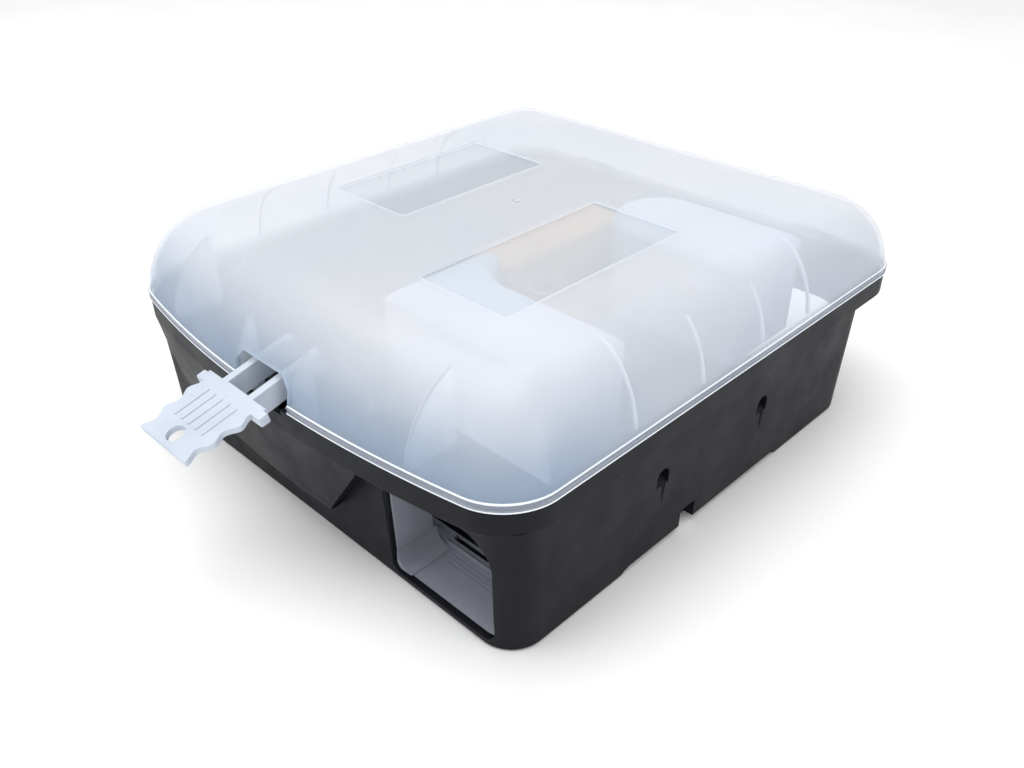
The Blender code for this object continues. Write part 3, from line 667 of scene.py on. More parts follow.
def round_edges(obj: bpy.types.Object, width: float, segments: int = 2,
                angle: float = 40.0) -> bpy.types.Object:
    """Round an object's sharp edges.

    Args:
        obj: the object.
        width: bevel width in millimetres.
        segments: bevel segments.
        angle: edges sharper than this many degrees are rounded.

    Returns:
        The same object.
    """
    bevel = obj.modifiers.new("rounded_edges", "BEVEL")
    bevel.width = width * MM
    bevel.segments = segments
    bevel.limit_method = "ANGLE"
    bevel.angle_limit = math.radians(angle)
    return bake_modifiers(obj)


def combine(target: bpy.types.Object, operation: str,
            tools: Sequence[bpy.types.Object]) -> bpy.types.Object:
    """Join tools to a target, cut them out, or keep what they share, and remove them.

    Args:
        target: the object that changes.
        operation: UNION, DIFFERENCE or INTERSECT.
        tools: the tools.

    Returns:
        The target.
    """
    for tool in tools:
        modifier = target.modifiers.new(tool.name, "BOOLEAN")
        modifier.operation = operation
        modifier.object = tool
        modifier.solver = "EXACT"
    bake_modifiers(target)
    for tool in tools:
        bpy.data.objects.remove(tool, do_unlink=True)
    return target


def join(target: bpy.types.Object, *tools: bpy.types.Object) -> bpy.types.Object:
    """Join each tool to the target."""
    return combine(target, "UNION", tools)


def cut(target: bpy.types.Object, *tools: bpy.types.Object) -> bpy.types.Object:
    """Cut each tool out of the target."""
    return combine(target, "DIFFERENCE", tools)


def smooth(obj: bpy.types.Object, angle: float = 32.0) -> bpy.types.Object:
    """Shade smooth, and keep edges above an angle sharp.

    Args:
        obj: the object.
        angle: the angle in degrees.

    Returns:
        The same object.
    """
    obj.data.shade_smooth()
    obj.data.set_sharp_from_angle(angle=math.radians(angle))
    return obj


def even_shading(obj: bpy.types.Object, angle: float = 32.0) -> bpy.types.Object:
    """Let large flat faces set the shading of the vertices they share.

    Args:
        obj: the object.
        angle: edges sharper than this many degrees stay sharp.

    Returns:
        The same object.
    """
    smooth(obj, angle)
    modifier = obj.modifiers.new("even_shading", "WEIGHTED_NORMAL")
    modifier.keep_sharp = True
    return bake_modifiers(obj)


def dress(obj: bpy.types.Object, material: bpy.types.Material, body: Body,
          nodes: Sequence[str] = (),
          stretch: tuple[Body, Point3, Point3] | None = None) -> bpy.types.Object:
    """Give a finished piece its material and body, and hide the nodes that it stands for.

    Args:
        obj: the piece.
        material: its finish.
        body: the body it rides on.
        nodes: CAD nodes that it replaces.
        stretch: the body at its far end, and where the change from one body to the other starts and
            ends. Only whether it is given is read; when it is, the piece is left in place on no body.

    Returns:
        The piece.
    """
    if not obj.data.materials:
        obj.data.materials.append(material)
    even_shading(obj)
    if stretch:
        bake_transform(obj)
    else:
        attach(obj, body.value)
    if nodes:
        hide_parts(*nodes)
    LOG.info("%s: %d faces on %s", obj.name, len(obj.data.polygons), body.value)
    return obj


def refine(node: str, name: str, width: float, segments: int = 2,
           angle: float = 35.0) -> bpy.types.Object:
    """Copy a CAD node, merge its loose triangles and round its edges.

    Args:
        node: the CAD node.
        name: the new piece's name.
        width: bevel width in millimetres.
        segments: bevel segments.
        angle: edges sharper than this many degrees are rounded.

    Returns:
        The new piece.
    """
    bm = bmesh.new()
    bm.from_mesh(frame["nodes"][node].data)
    bmesh.ops.remove_doubles(bm, verts=bm.verts, dist=0.002 * MM)
    bmesh.ops.dissolve_limit(bm, angle_limit=math.radians(0.6), verts=bm.verts, edges=bm.edges)
    mesh = bpy.data.meshes.new(name)
    bm.to_mesh(mesh)
    bm.free()
    made = add_object(name, mesh)
    return round_edges(made, width, segments, angle) if width else made


# ---------------------------------------------------------------- geometry nodes

def new_tree(name: str,
             inputs: Sequence[tuple[str, str, Any]]) -> tuple[Any, Any, Any, dict[str, str]]:
    """Start a Geometry Nodes tree.

    Args:
        name: the tree's name.
        inputs: name, socket type and default of each input after the geometry.

    Returns:
        The tree, its input node, its output node and each input's identifier by name.
    """
    tree = bpy.data.node_groups.new(name, "GeometryNodeTree")
    tree.interface.new_socket("Geometry", in_out="INPUT", socket_type="NodeSocketGeometry")
    identifiers = {}
    for label, kind, default in inputs:
        socket = tree.interface.new_socket(label, in_out="INPUT", socket_type=kind)
        if default is not None:
            socket.default_value = default
        identifiers[label] = socket.identifier
    tree.interface.new_socket("Geometry", in_out="OUTPUT", socket_type="NodeSocketGeometry")
    return tree, add_node(tree, "NodeGroupInput"), add_node(tree, "NodeGroupOutput"), identifiers


def close_tree(tree: Any, entry: Any, leave: Any, geometry: Any) -> None:
    """End a tree in Realize Instances and Set Material.

    Args:
        tree: the tree.
        entry: its input node.
        leave: its output node.
        geometry: the socket that the tree has reached.
    """
    real = add_node(tree, "GeometryNodeRealizeInstances", {"Geometry": geometry})
    paint = add_node(tree, "GeometryNodeSetMaterial",
                     {"Geometry": real.outputs["Geometry"], "Material": entry.outputs["Material"]})
    tree.links.new(paint.outputs["Geometry"], leave.inputs["Geometry"])


def bead_tree() -> tuple[Any, dict[str, str]]:
    """A bead swept along the object's own edges, thinner towards the ends of an open run.

    Returns:
        The tree and its input identifiers.
    """
    length = "NodeSocketFloat"
    tree, entry, leave, ids = new_tree("bead_along_edges", (
        ("Width", length, 0.001), ("Depth", length, 0.001), ("Taper", length, 1.0),
        ("Material", "NodeSocketMaterial", None)))
    line = add_node(tree, "GeometryNodeMeshToCurve", {"Mesh": entry.outputs["Geometry"]})
    along = add_node(tree, "GeometryNodeSplineParameter")
    arch = add_node(tree, "ShaderNodeMath", {0: along.outputs["Factor"], 1: math.pi},
                    operation="MULTIPLY")
    swell = add_node(tree, "ShaderNodeMath", {0: arch.outputs[0]}, operation="SINE")
    lift = add_node(tree, "ShaderNodeMath", {0: swell.outputs[0], 1: 0.0}, operation="MAXIMUM")
    root = add_node(tree, "ShaderNodeMath", {0: lift.outputs[0], 1: 0.4}, operation="POWER")
    blend = add_node(tree, "ShaderNodeMapRange",
                     {"Value": entry.outputs["Taper"], "To Min": 1.0, "To Max": root.outputs[0]})
    size = add_node(tree, "GeometryNodeSetCurveRadius",
                    {"Curve": line.outputs["Curve"], "Radius": blend.outputs["Result"]})
    profile = add_node(tree, "GeometryNodeCurvePrimitiveQuadrilateral",
                       {"Width": entry.outputs["Width"], "Height": entry.outputs["Depth"]})
    round_profile = add_node(tree, "GeometryNodeFilletCurve", {"Curve": profile.outputs["Curve"]})
    for socket in round_profile.inputs:
        if socket.name == "Radius":
            tree.links.new(entry.outputs["Width"], socket)
        if socket.name == "Limit Radius":
            socket.default_value = True
    sweep = add_node(tree, "GeometryNodeCurveToMesh",
                     {"Curve": size.outputs["Curve"], "Profile Curve": round_profile.outputs["Curve"]})
    sweep.inputs["Fill Caps"].default_value = True
    close_tree(tree, entry, leave, sweep.outputs["Mesh"])
    return tree, ids


def bar_row_tree() -> tuple[Any, dict[str, str]]:
    """A row of equal bars: the object's own mesh repeated along a line.

    Returns:
        The tree and its input identifiers.
    """
    tree, entry, leave, ids = new_tree("row_of_bars", (
        ("Count", "NodeSocketInt", 5), ("Start", "NodeSocketVector", None),
        ("Step", "NodeSocketVector", None), ("Material", "NodeSocketMaterial", None)))
    line = add_node(tree, "GeometryNodeMeshLine",
                    {"Count": entry.outputs["Count"], "Start Location": entry.outputs["Start"],
                     "Offset": entry.outputs["Step"]})
    row = add_node(tree, "GeometryNodeInstanceOnPoints",
                   {"Points": line.outputs["Mesh"], "Instance": entry.outputs["Geometry"]})
    close_tree(tree, entry, leave, row.outputs["Instances"])
    return tree, ids


def grow(obj: bpy.types.Object, tree: Any, ids: dict[str, str], **values: Any) -> bpy.types.Object:
    """Run a Geometry Nodes tree on an object and keep the plain mesh.

    Args:
        obj: the object that feeds the tree.
        tree: the tree.
        ids: its input identifiers.
        values: input values by name.

    Returns:
        The same object with its new mesh.
    """
    modifier = obj.modifiers.new("grown", "NODES")
    modifier.node_group = tree
    for label, value in values.items():
        modifier[ids[label]] = value
    return bake_modifiers(obj)


def edge_object(name: str, lines: Sequence[tuple[Sequence[Point3], bool]]) -> bpy.types.Object:
    """An object of bare edges.

    Args:
        name: the object's name.
        lines: each line's points, and True where it is closed.

    Returns:
        The new object.
    """
    bm = bmesh.new()
    for points, closed in lines:
        verts = [bm.verts.new(point) for point in points]
        pairs = list(zip(verts, verts[1:])) + ([(verts[-1], verts[0])] if closed else [])
        for a, b in pairs:
            bm.edges.new((a, b))
    return add_object(name, to_mesh(name, bm))


def outward(obj: bpy.types.Object) -> bpy.types.Object:
    """Merge doubles and turn every face out.

    Args:
        obj: the object.

    Returns:
        The same object.
    """
    bm = bmesh.new()
    bm.from_mesh(obj.data)
    bmesh.ops.remove_doubles(bm, verts=bm.verts, dist=0.001 * MM)
    bmesh.ops.recalc_face_normals(bm, faces=bm.faces)
    bm.to_mesh(obj.data)
    bm.free()
    return obj


# ---------------------------------------------------------------- lid

class LidFace(Enum):
    """Which finish each of the lid's faces has, as its material number."""

    SKIN = 0
    WINDOW = 1
    THICK = 2
    LIP = 3
    STEP = 4


@dataclass
class DomedLid:
    """The frosted lid: lip, dome, windows, fins, ribs, ring marks and the key's mouth."""

    finishes: Finishes
    wall: float = 2.2
    lip_top: float = 80.0
    roll_side: float = 32.0
    roll_end: float = 42.8
    lip_step: float = 0.8
    top_radius: float = 6.0
    steps: int = 26
    window_depth: float = 0.9
    windows: tuple[tuple[float, float, float, float], ...] = (
        (-81.5, -58.0, -28.0, 44.0), (28.0, -96.3, 81.5, 21.8))
    fin_x: float = 87.0
    fin_wall: float = 1.8
    fin_profile: Point3 = (-131.0, 100.0, 115.5)  # Y of the free edge, Z of its knee, Z of the tip
    mouth_half: float = 19.5
    mouth_top: float = 92.0
    mouth_chamfer: float = 5.0
    lock_wall_x: float = 20.3
    lock_wall_profile: Point3 = (-151.0, 98.0, 104.0)
    shank: tuple[float, float, float] = (-158.5, 60.0, 90.0)  # front Y, bottom Z, top Z
    toe: Point2 = (13.0, 65.5)  # how near the middle it reaches, top Z
    gate: Point2 = (-0.6, -5.3)
    knuckle_half: float = 6.6
    light_line: float = 0.6
    ribs: tuple[tuple[float, float], ...] = ((-76.6, 76.0), (-30.0, 56.0), (16.7, 52.0), (57.0, 74.0))
    marks: tuple[Point3, ...] = (
        (69.9, -59.3, 130.0), (115.2, -131.0, 130.0), (47.6, -145.0, 130.0),
        (-55.2, -141.4, 130.0), (115.3, -3.2, 130.0), (-115.3, -3.2, 130.0), (-60.0, 110.0, 130.0))
    mark_radius: float = 8.6

    def skin_ring(self, angle: float, depth: float) -> list[Point3]:
        """One ring of the dome, depth below its outer face.

        Args:
            angle: how far up the roll-over, in radians.
            depth: depth below the outer face.

        Returns:
            The ring's points.
        """
        share = 1.0 - math.cos(angle)
        side = self.lip_step + depth + (self.roll_side - self.lip_step - depth) * share
        end = self.lip_step + depth + (self.roll_end - self.lip_step - depth) * share
        radius = RIM.radius + (self.top_radius - RIM.radius) * share
        z = RIM.z + (LID_HIGH.z - RIM.z - depth) * math.sin(angle)
        outline = plan(RIM.half_width - side, end - RIM.half_depth, RIM.half_depth - end,
                       max(radius - depth * 0.5, 3.0), bowed=True)
        return at_height(outline, z)

    def shell(self) -> bpy.types.Object:
        """The closed wall of the lid, with two beads round its lip.

        Returns:
            The wall.
        """
        lip = ((self.wall + 0.4, 0.0), (0.4, 0.0), (0.0, 0.35), (0.0, 1.05), (0.25, 1.3), (0.6, 1.4),
               (0.6, 2.5), (0.25, 2.65), (0.0, 2.9), (0.0, 3.6), (0.4, 3.95), (self.lip_step, 4.05))
        rings = [at_height(rim_plan(inset), RIM.z + rise) for inset, rise in lip]
        height = LID_HIGH.z - RIM.z
        start = math.asin(4.4 / height)
        span = math.pi / 2 - start
        outer = [self.skin_ring(start + span * step / self.steps, 0.0)
                 for step in range(self.steps + 1)]
        inner = [self.skin_ring(start + span * step / self.steps, self.wall)
                 for step in range(self.steps + 1)]
        bm = bmesh.new()
        chain = [list(reversed(inner)), rings, outer]
        loops = [[bm.verts.new(point) for point in ring] for group in chain for ring in group]
        count = len(loops[0])
        for lower, upper in zip(loops, loops[1:]):
            for i in range(count):
                after = (i + 1) % count
                bm.faces.new((lower[i], lower[after], upper[after], upper[i]))
        bm.faces.new(reversed(loops[0]))
        bm.faces.new(loops[-1])
        bmesh.ops.recalc_face_normals(bm, faces=bm.faces)
        return add_object("lid_shell", to_mesh("lid_shell", bm))

    def front_skin(self, x: float, z: float) -> float:
        """Y of the middle of the front wall at x and z.

        Args:
            x: place across the lid.
            z: height.

        Returns:
            The place in Y.
        """
        rise = min(1.0, max(0.0, (z - RIM.z) / (LID_HIGH.z - RIM.z)))
        share = 1.0 - math.sqrt(1.0 - rise ** 2)
        return -RIM.half_depth - bow_at(x) + self.roll_end * share + self.lip_step + self.wall / 2

    def fin(self, name: str, x: float, profile: Point3) -> bpy.types.Object:
        """A gusset from the front wall back to its free edge.

        Args:
            name: the object's name.
            x: where its middle plane lies.
            profile: Y of its free edge, Z of the knee there and Z of its tip.

        Returns:
            The gusset.
        """
        free_y, knee_z, apex_z = profile
        levels = [RIM.z + 2.0 + (apex_z - RIM.z - 2.0) * step / 16 for step in range(17)]
        points = [(self.front_skin(x, z), z) for z in levels]
        steps = 6
        for step in range(1, steps + 1):
            share = step / steps
            y = points[16][0] + (free_y - points[16][0]) * math.sin(share * math.pi / 2)
            z = apex_z + (knee_z - apex_z) * (1 - math.cos(share * math.pi / 2))
            points.append((y, z))
        points.append((free_y, levels[0]))
        half_wall = self.fin_wall / 2
        return prism(name, list(reversed(points)), x - half_wall, x + half_wall, axis="X")

    def window_tool(self, number: int, corners: tuple[float, float, float, float]) -> bpy.types.Object:
        """A shallow rounded box that thins one window.

        Args:
            number: the window's number.
            corners: its lowest X and Y and its highest X and Y.

        Returns:
            The cutter.
        """
        x0, y0, x1, y1 = corners
        middle_x, middle_y = (x0 + x1) / 2, (y0 + y1) / 2

        def ring(grow_by: float, z: float) -> list[Point3]:
            """The window's outline at height z, made larger by grow_by."""
            outline = plan((x1 - x0) / 2 + grow_by, y0 - middle_y - grow_by, y1 - middle_y + grow_by,
                           2.5 + grow_by, arc_steps=5, front_steps=2)
            return [(x + middle_x, y + middle_y, z) for x, y in outline]

        floor = LID_HIGH.z - self.window_depth
        return skin(f"window_{number}",
                    [ring(-0.7, floor), ring(0.0, floor + 0.55), ring(0.5, LID_HIGH.z + 1.0)])

    def build_body(self) -> bpy.types.Object:
        """The lid as one body.

        Returns:
            The lid, before its faces have their finishes.
        """
        lid = self.shell()
        lid.name = "frosted_lid"
        join(lid, self.fin("fin_left", -self.fin_x, self.fin_profile),
             self.fin("fin_right", self.fin_x, self.fin_profile))
        half, chamfer = self.mouth_half, self.mouth_chamfer
        low, top = RIM.z - 4.0, self.mouth_top
        mouth = ((-half, low), (half, low), (half, top - chamfer), (half - chamfer, top),
                 (chamfer - half, top), (-half, top - chamfer))
        cut(lid, prism("mouth", mouth, -172.0, -152.0, axis="Y"))
        for side in (-1, 1):
            self.add_lock_wall(lid, side)
        cut(lid, *[self.window_tool(number, corners) for number, corners in enumerate(self.windows)])
        roof = LID_HIGH.z
        cut(lid, rod("gate_dimple", (*self.gate, roof - 0.7), (*self.gate, roof + 0.3), 2.2, 3.4))
        join(lid, rod("gate_nub", (*self.gate, roof - 1.2), (*self.gate, roof - 0.05), 1.1))
        self.add_knuckles(lid)
        return lid

    def add_lock_wall(self, lid: bpy.types.Object, side: int) -> None:
        """The wall beside the key's mouth, with the hook that a latch holds.

        Args:
            lid: the lid.
            side: -1 on the left, 1 on the right.
        """
        half_wall = self.fin_wall / 2
        x = side * (self.lock_wall_x + half_wall)
        rear = self.lock_wall_profile[0]
        front, low, high = self.shank
        toe_x = side * self.toe[0]
        join(lid, self.fin("lock_wall", x, self.lock_wall_profile),
             box("shank", (x - half_wall, front, low), (x + half_wall, rear, high)),
             box("toe", (min(x, toe_x), front, low), (max(x, toe_x), rear, self.toe[1])))

    def add_knuckles(self, lid: bpy.types.Object) -> None:
        """The lid's half of each hinge.

        Args:
            lid: the lid.
        """
        for side in (-1, 1):
            low, high = side * HINGE_X - self.knuckle_half, side * HINGE_X + self.knuckle_half
            join(lid, rod("knuckle", (low, HINGE_Y, HINGE_Z), (high, HINGE_Y, HINGE_Z), 4.4, bevel=0.4),
                 box("arm", (low, 148.5, 76.3), (high, HINGE_Y, 79.4), bevel=0.3))
            cut(lid, rod("bore", (low - 2, HINGE_Y, HINGE_Z), (high + 2, HINGE_Y, HINGE_Z), HINGE_BORE,
                         sides=24))

    def finish_faces(self, lid: bpy.types.Object) -> None:
        """Give windows, lip and thick edges their own finish.

        Args:
            lid: the lid.
        """
        finishes = self.finishes
        lid.data.materials.clear()
        for material in (finishes.lid, finishes.window, finishes.rib, finishes.lip, finishes.edge):
            lid.data.materials.append(material)
        top = LID_HIGH.z
        floor = top - self.window_depth
        for face in lid.data.polygons:
            x, y, z = (value / MM for value in face.center)
            inside = any(x0 - 0.8 < x < x1 + 0.8 and y0 - 0.8 < y < y1 + 0.8
                         for x0, y0, x1, y1 in self.windows)
            step = inside and floor + 0.05 < z < top - 0.02
            gusset = y < -130.0 and abs(face.normal.x) > 0.9 and z < 112.0 and (
                abs(abs(x) - self.fin_x) < 1.0 or abs(abs(x) - self.lock_wall_x - 0.9) < 1.0)
            bead = z < RIM.z + 0.8 or RIM.z + 3.9 < z < RIM.z + 4.3
            kind = LidFace.SKIN
            if step:
                kind = LidFace.STEP
            elif gusset or bead:
                kind = LidFace.THICK
            elif inside and abs(z - floor) < 0.3:
                kind = LidFace.WINDOW
            elif z < RIM.z + 4.0:
                kind = LidFace.LIP
            face.material_index = kind.value

    def build_ribs(self) -> bpy.types.Object:
        """Ribs inside both side roll-overs, swept by Geometry Nodes.

        Returns:
            The ribs.
        """
        lines = []
        depth = self.wall + 0.75
        for y, end in self.ribs:
            for side in (-1, 1):
                run = []
                for step in range(25):
                    angle = math.radians(7.0 + (end - 7.0) * step / 24)
                    x = RIM.half_width - self.roll_side
                    x += (self.roll_side - self.lip_step - depth) * math.cos(angle)
                    run.append((side * x, y, RIM.z + (LID_HIGH.z - RIM.z - depth) * math.sin(angle)))
                lines.append((run, False))
        ribs = edge_object("lid_side_ribs", lines)
        tree, ids = bead_tree()
        grow(ribs, tree, ids, Width=1.3 * MM, Depth=2.2 * MM, Taper=1.0, Material=self.finishes.rib)
        return outward(ribs)

    def build_highlight_edges(self) -> bpy.types.Object:
        """Thin lighter lines round both windows and the key's mouth: painted highlights where the step
        edges catch the light.

        Returns:
            The edges.
        """
        lines = []
        for x0, y0, x1, y1 in self.windows:
            outline = plan((x1 - x0) / 2 + 0.3, (y0 - y1) / 2 - 0.3, (y1 - y0) / 2 + 0.3, 2.8,
                           arc_steps=5, front_steps=2)
            centre_x, centre_y = (x0 + x1) / 2, (y0 + y1) / 2
            lines.append(([(x + centre_x, y + centre_y, LID_HIGH.z - 0.3) for x, y in outline], True))
        half, chamfer, top = self.mouth_half + 0.2, self.mouth_chamfer, self.mouth_top + 0.2
        corners = ((-half, self.lip_top), (-half, top - chamfer), (chamfer - half, top),
                   (half - chamfer, top), (half, top - chamfer), (half, self.lip_top))
        run = []
        for (xa, za), (xb, zb) in zip(corners, corners[1:]):
            for step in range(8):
                x, z = xa + (xb - xa) * step / 8, za + (zb - za) * step / 8
                run.append((x, self.front_skin(x, z) - self.wall / 2 + 0.55, z))
        lines.append((run, False))
        edges = edge_object("lid_highlight_edges", lines)
        tree, ids = bead_tree()
        grow(edges, tree, ids, Width=self.light_line * MM, Depth=self.light_line * MM, Taper=0.0,
             Material=self.finishes.edge)
        return outward(edges)

    def build_marks(self, lid: bpy.types.Object) -> bpy.types.Object:
        """Ring marks of the tool's ejector sleeves, laid on the inner face.

        Args:
            lid: the lid that they lie on.

        Returns:
            The marks.
        """
        surface = BVHTree.FromObject(lid, bpy.context.evaluated_depsgraph_get())
        lines = []
        for x, y, z in self.marks:
            start = Vector((x, y, z)) * MM
            centre, normal, _, _ = surface.ray_cast(start, Vector((0, 0, -1)))
            if centre is None:
                continue
            turn = normal.to_track_quat("Z", "Y").to_matrix()
            ring = []
            for step in range(48):
                angle = 2 * math.pi * step / 48
                spoke = turn @ Vector((math.cos(angle), math.sin(angle), 0.0)) * self.mark_radius * MM
                hit = surface.ray_cast(centre + spoke + normal * 12 * MM, -normal)[0]
                if hit is not None:
                    ring.append(tuple((hit - normal * (self.wall + 0.05) * MM) / MM))
            if len(ring) == 48:
                lines.append((ring, True))
        marks = edge_object("lid_ring_marks", lines)
        tree, ids = bead_tree()
        grow(marks, tree, ids, Width=self.light_line * MM, Depth=self.light_line * MM, Taper=0.0,
             Material=self.finishes.edge)
        return outward(marks)

    def build(self) -> None:
        """Build and dress the lid's pieces."""
        lid = self.build_body()
        marks = self.build_marks(lid)
        ribs = self.build_ribs()
        self.finish_faces(lid)
        dress(lid, self.finishes.lid, Body.LID, ["lid"])
        dress(ribs, self.finishes.rib, Body.LID)
        dress(marks, self.finishes.edge, Body.LID)
        # Painted highlights along the window and mouth edges.
        dress(self.build_highlight_edges(), self.finishes.edge, Body.LID)


# ---------------------------------------------------------------- tub

@dataclass
class MouldedTub:
    """The black tub: walls, collar, lock panel, doors, scoops, feet and hinge knuckles."""

    finishes: Finishes
    wall: float = 2.6
    floor: float = 2.6
    collar_low: float = 64.0
    shelf: float = 66.6
    rim_top: float = 75.7
    half_width: float = 136.8
    front: float = -149.6
    rear: float = 123.0
    draft: float = 2.0
    radius: float = 17.0
    bulge_low: float = 22.0
    bulge_lean: float = 7.6
    bulge_right: Point2 = (27.0, 60.0)
    bulge_round: float = 6.0
    door: tuple[float, float, float, float] = (61.0, 4.0, 124.0, 57.0)
    door_wall: float = 1.2
    scoops: Point2 = (-55.0, 24.0)
    scoop_crown: float = 44.6
    partition_top: float = 59.7
    wall_gap: float = 2.4  # keeps partitions clear of the drafted walls
    pillar: Point3 = (30.0, -130.0, 62.3)
    pillar_radius: float = 4.2
    foot_radius: float = 1.8
    collar_radius: float = 1.4
    collar_inset: float = 0.6
    side_recess: float = 127.0  # how far in the side arches reach

    def tub_ring(self, z: float, inset: float = 0.0) -> list[Point3]:
        """The tub wall at height z, moved in by inset.

        Args:
            z: the height.
            inset: how far it is moved in.

        Returns:
            The outline's points.
        """
        lean = self.draft * (1.0 - z / self.collar_low) + inset
        return at_height(plan(self.half_width - lean, self.front + lean, self.rear - lean,
                              self.radius - min(inset, 8.0)), z)

    def bulge_ring(self, z: float, inset: float, right_end: float) -> list[Point3]:
        """The lock panel's outline at height z.

        Args:
            z: the height.
            inset: how far it is moved in.
            right_end: X of its right end.

        Returns:
            The outline's points.
        """
        half, radius = RIM.half_width - 0.6, RIM.radius
        front, left = 0.6 - RIM.half_depth, RIM.radius - RIM.half_width + 0.6
        corner = radius - inset
        points: list[Point2] = []
        for step in range(25):
            x = right_end + (left - right_end) * step / 24
            points.append((x, front - bow_at(x) + inset))
        for step in range(1, 13):
            angle = math.radians(270 - 90 * step / 12)
            x = left + corner * math.cos(angle)
            points.append((x, front + radius + corner * math.sin(angle) - bow_at(x)))
        points.append((points[-1][0] + 12.0, front + radius + 10.0))
        points += [(-100.0, -118.0), (-90.0, -140.0), (right_end - 4.0, -140.0)]
        return at_height(reversed(points), z)

    def bulge(self, name: str, inset: float, low: float, high: float) -> bpy.types.Object:
        """The lock panel's solid, or its hollow when inset is the wall.

        Args:
            name: the object's name.
            inset: how far its faces are moved in.
            low: its lowest height.
            high: its highest height.

        Returns:
            The solid.
        """
        size = self.bulge_round
        levels = [(low + size * (1 - math.cos(t)),
                   self.bulge_lean + size * (1 - math.sin(t)) - 0.9 * (t / 1.571))
                  for t in [math.pi / 2 * step / 8 for step in range(9)]]
        levels += [(self.collar_low - 1.0, 0.5), (self.collar_low, 0.35), (high, 0.0)]
        rings = []
        for z, lean in levels:
            share = min(1.0, max(0.0, (z - self.bulge_low) / (self.collar_low - self.bulge_low)))
            right = self.bulge_right[0] + (self.bulge_right[1] - self.bulge_right[0]) * share
            rings.append(self.bulge_ring(z, lean + inset, right - inset * 1.4))
        return skin(name, rings)

    def door_ring(self, grow_by: float, y: float) -> list[Point3]:
        """The entrance outline at a depth, made larger by grow_by.

        Args:
            grow_by: how much larger it is.
            y: where it lies.

        Returns:
            The outline's points.
        """
        left, bottom, right, top = self.door
        points = []
        for x, z, radius, start in ((right, top, 14.0, 0), (left, top, 6.0, 90),
                                    (left, bottom, 5.0, 180), (right, bottom, 5.0, 270)):
            centre_x = x - radius if start in (0, 270) else x + radius
            centre_z = z - radius if start in (0, 90) else z + radius
            reach = radius + grow_by
            for step in range(9):
                angle = math.radians(start + 90 * step / 8)
                points.append((centre_x + reach * math.cos(angle), y,
                               centre_z + reach * math.sin(angle)))
        return points

    def door_tool(self, name: str, wall_y: float, outward_y: int) -> bpy.types.Object:
        """Cutter for an entrance with a rounded outer edge."""
        levels = ((1.2, 6.0), (1.2, 0.4), (0.5, -0.4), (0.0, -1.3), (0.0, -9.0))
        return skin(name, [self.door_ring(grow_by, wall_y + outward_y * step)
                           for grow_by, step in levels])

    def shell(self) -> bpy.types.Object:
        """Outer form, collar and lock panel, with the hollow cut out.

        Returns:
            The tub.
        """
        foot, lip = self.foot_radius, self.collar_radius
        rings = [self.tub_ring(foot * (1 - math.cos(t)), foot * (1 - math.sin(t)))
                 for t in [math.pi / 2 * step / 5 for step in range(6)]]
        rings += [self.tub_ring(z) for z in (20.0, 40.0, self.shelf - 1.0)]
        tub = skin("black_tub", rings)
        inset = self.collar_inset
        collar_rings = [at_height(rim_plan(inset + lip * (1 - math.sin(t))),
                                  self.collar_low + lip * (1 - math.cos(t)))
                        for t in [math.pi / 2 * step / 4 for step in range(5)]]
        collar_rings += [at_height(rim_plan(inset), self.rim_top - 0.4),
                         at_height(rim_plan(inset + 0.3), self.rim_top)]
        join(tub, skin("collar", collar_rings), self.bulge("bulge", 0.0, self.bulge_low, self.shelf))
        pocket = skin("pocket", [at_height(rim_plan(inset + self.wall), self.shelf),
                                 at_height(rim_plan(inset + self.wall), RIM.z + 6.0)])
        cavity = skin("cavity", [self.tub_ring(self.floor, self.wall + 1.5),
                                 self.tub_ring(self.floor + 1.5, self.wall),
                                 self.tub_ring(self.shelf + 2.0, self.wall)])
        hollow = self.bulge("hollow", self.wall, self.bulge_low + self.wall + 1.0, self.shelf + 2.0)
        limit = box("limit", (-112.0, -170.0, 0.0), (139.0, self.front - 0.4, 76.0))
        combine(hollow, "INTERSECT", [limit])
        return cut(tub, pocket, cavity, hollow)

    def add_inner_walls(self, tub: bpy.types.Object) -> None:
        """Partitions and screw pillars.

        Args:
            tub: the tub.
        """
        low, high = self.floor - 1.0, self.partition_top
        front, rear = self.front + self.wall_gap, self.rear - self.wall_gap
        for a, b in (((24.0, front), (26.0, -66.0)), ((24.0, -68.0), (92.0, -66.0)),
                     ((32.0, 70.0), (34.0, rear)), ((32.0, 70.0), (92.0, 72.0))):
            join(tub, box("partition", (*a, low), (*b, high)))
        pillar_x, pillar_y, pillar_top = self.pillar
        for side in (-1, 1):
            x = side * pillar_x
            join(tub, rod("pillar", (x, pillar_y, low), (x, pillar_y, pillar_top), self.pillar_radius))

    def scoop_ring(self, x: float, y: float, sill: float, reach: float) -> list[Point3]:
        """An arched outline at x: a half circle over two straight sides.

        Args:
            x: where the outline lies.
            y: its middle.
            sill: height of its lower edge.
            reach: radius of its half circle, and half its width.

        Returns:
            The outline's points.
        """
        crown = self.scoop_crown
        points = [(x, y + reach, sill), (x, y + reach, (sill + crown) / 2)]
        for step in range(13):
            angle = math.pi * step / 12
            points.append((x, y + reach * math.cos(angle), crown + reach * math.sin(angle)))
        return points + [(x, y - reach, (sill + crown) / 2), (x, y - reach, sill)]

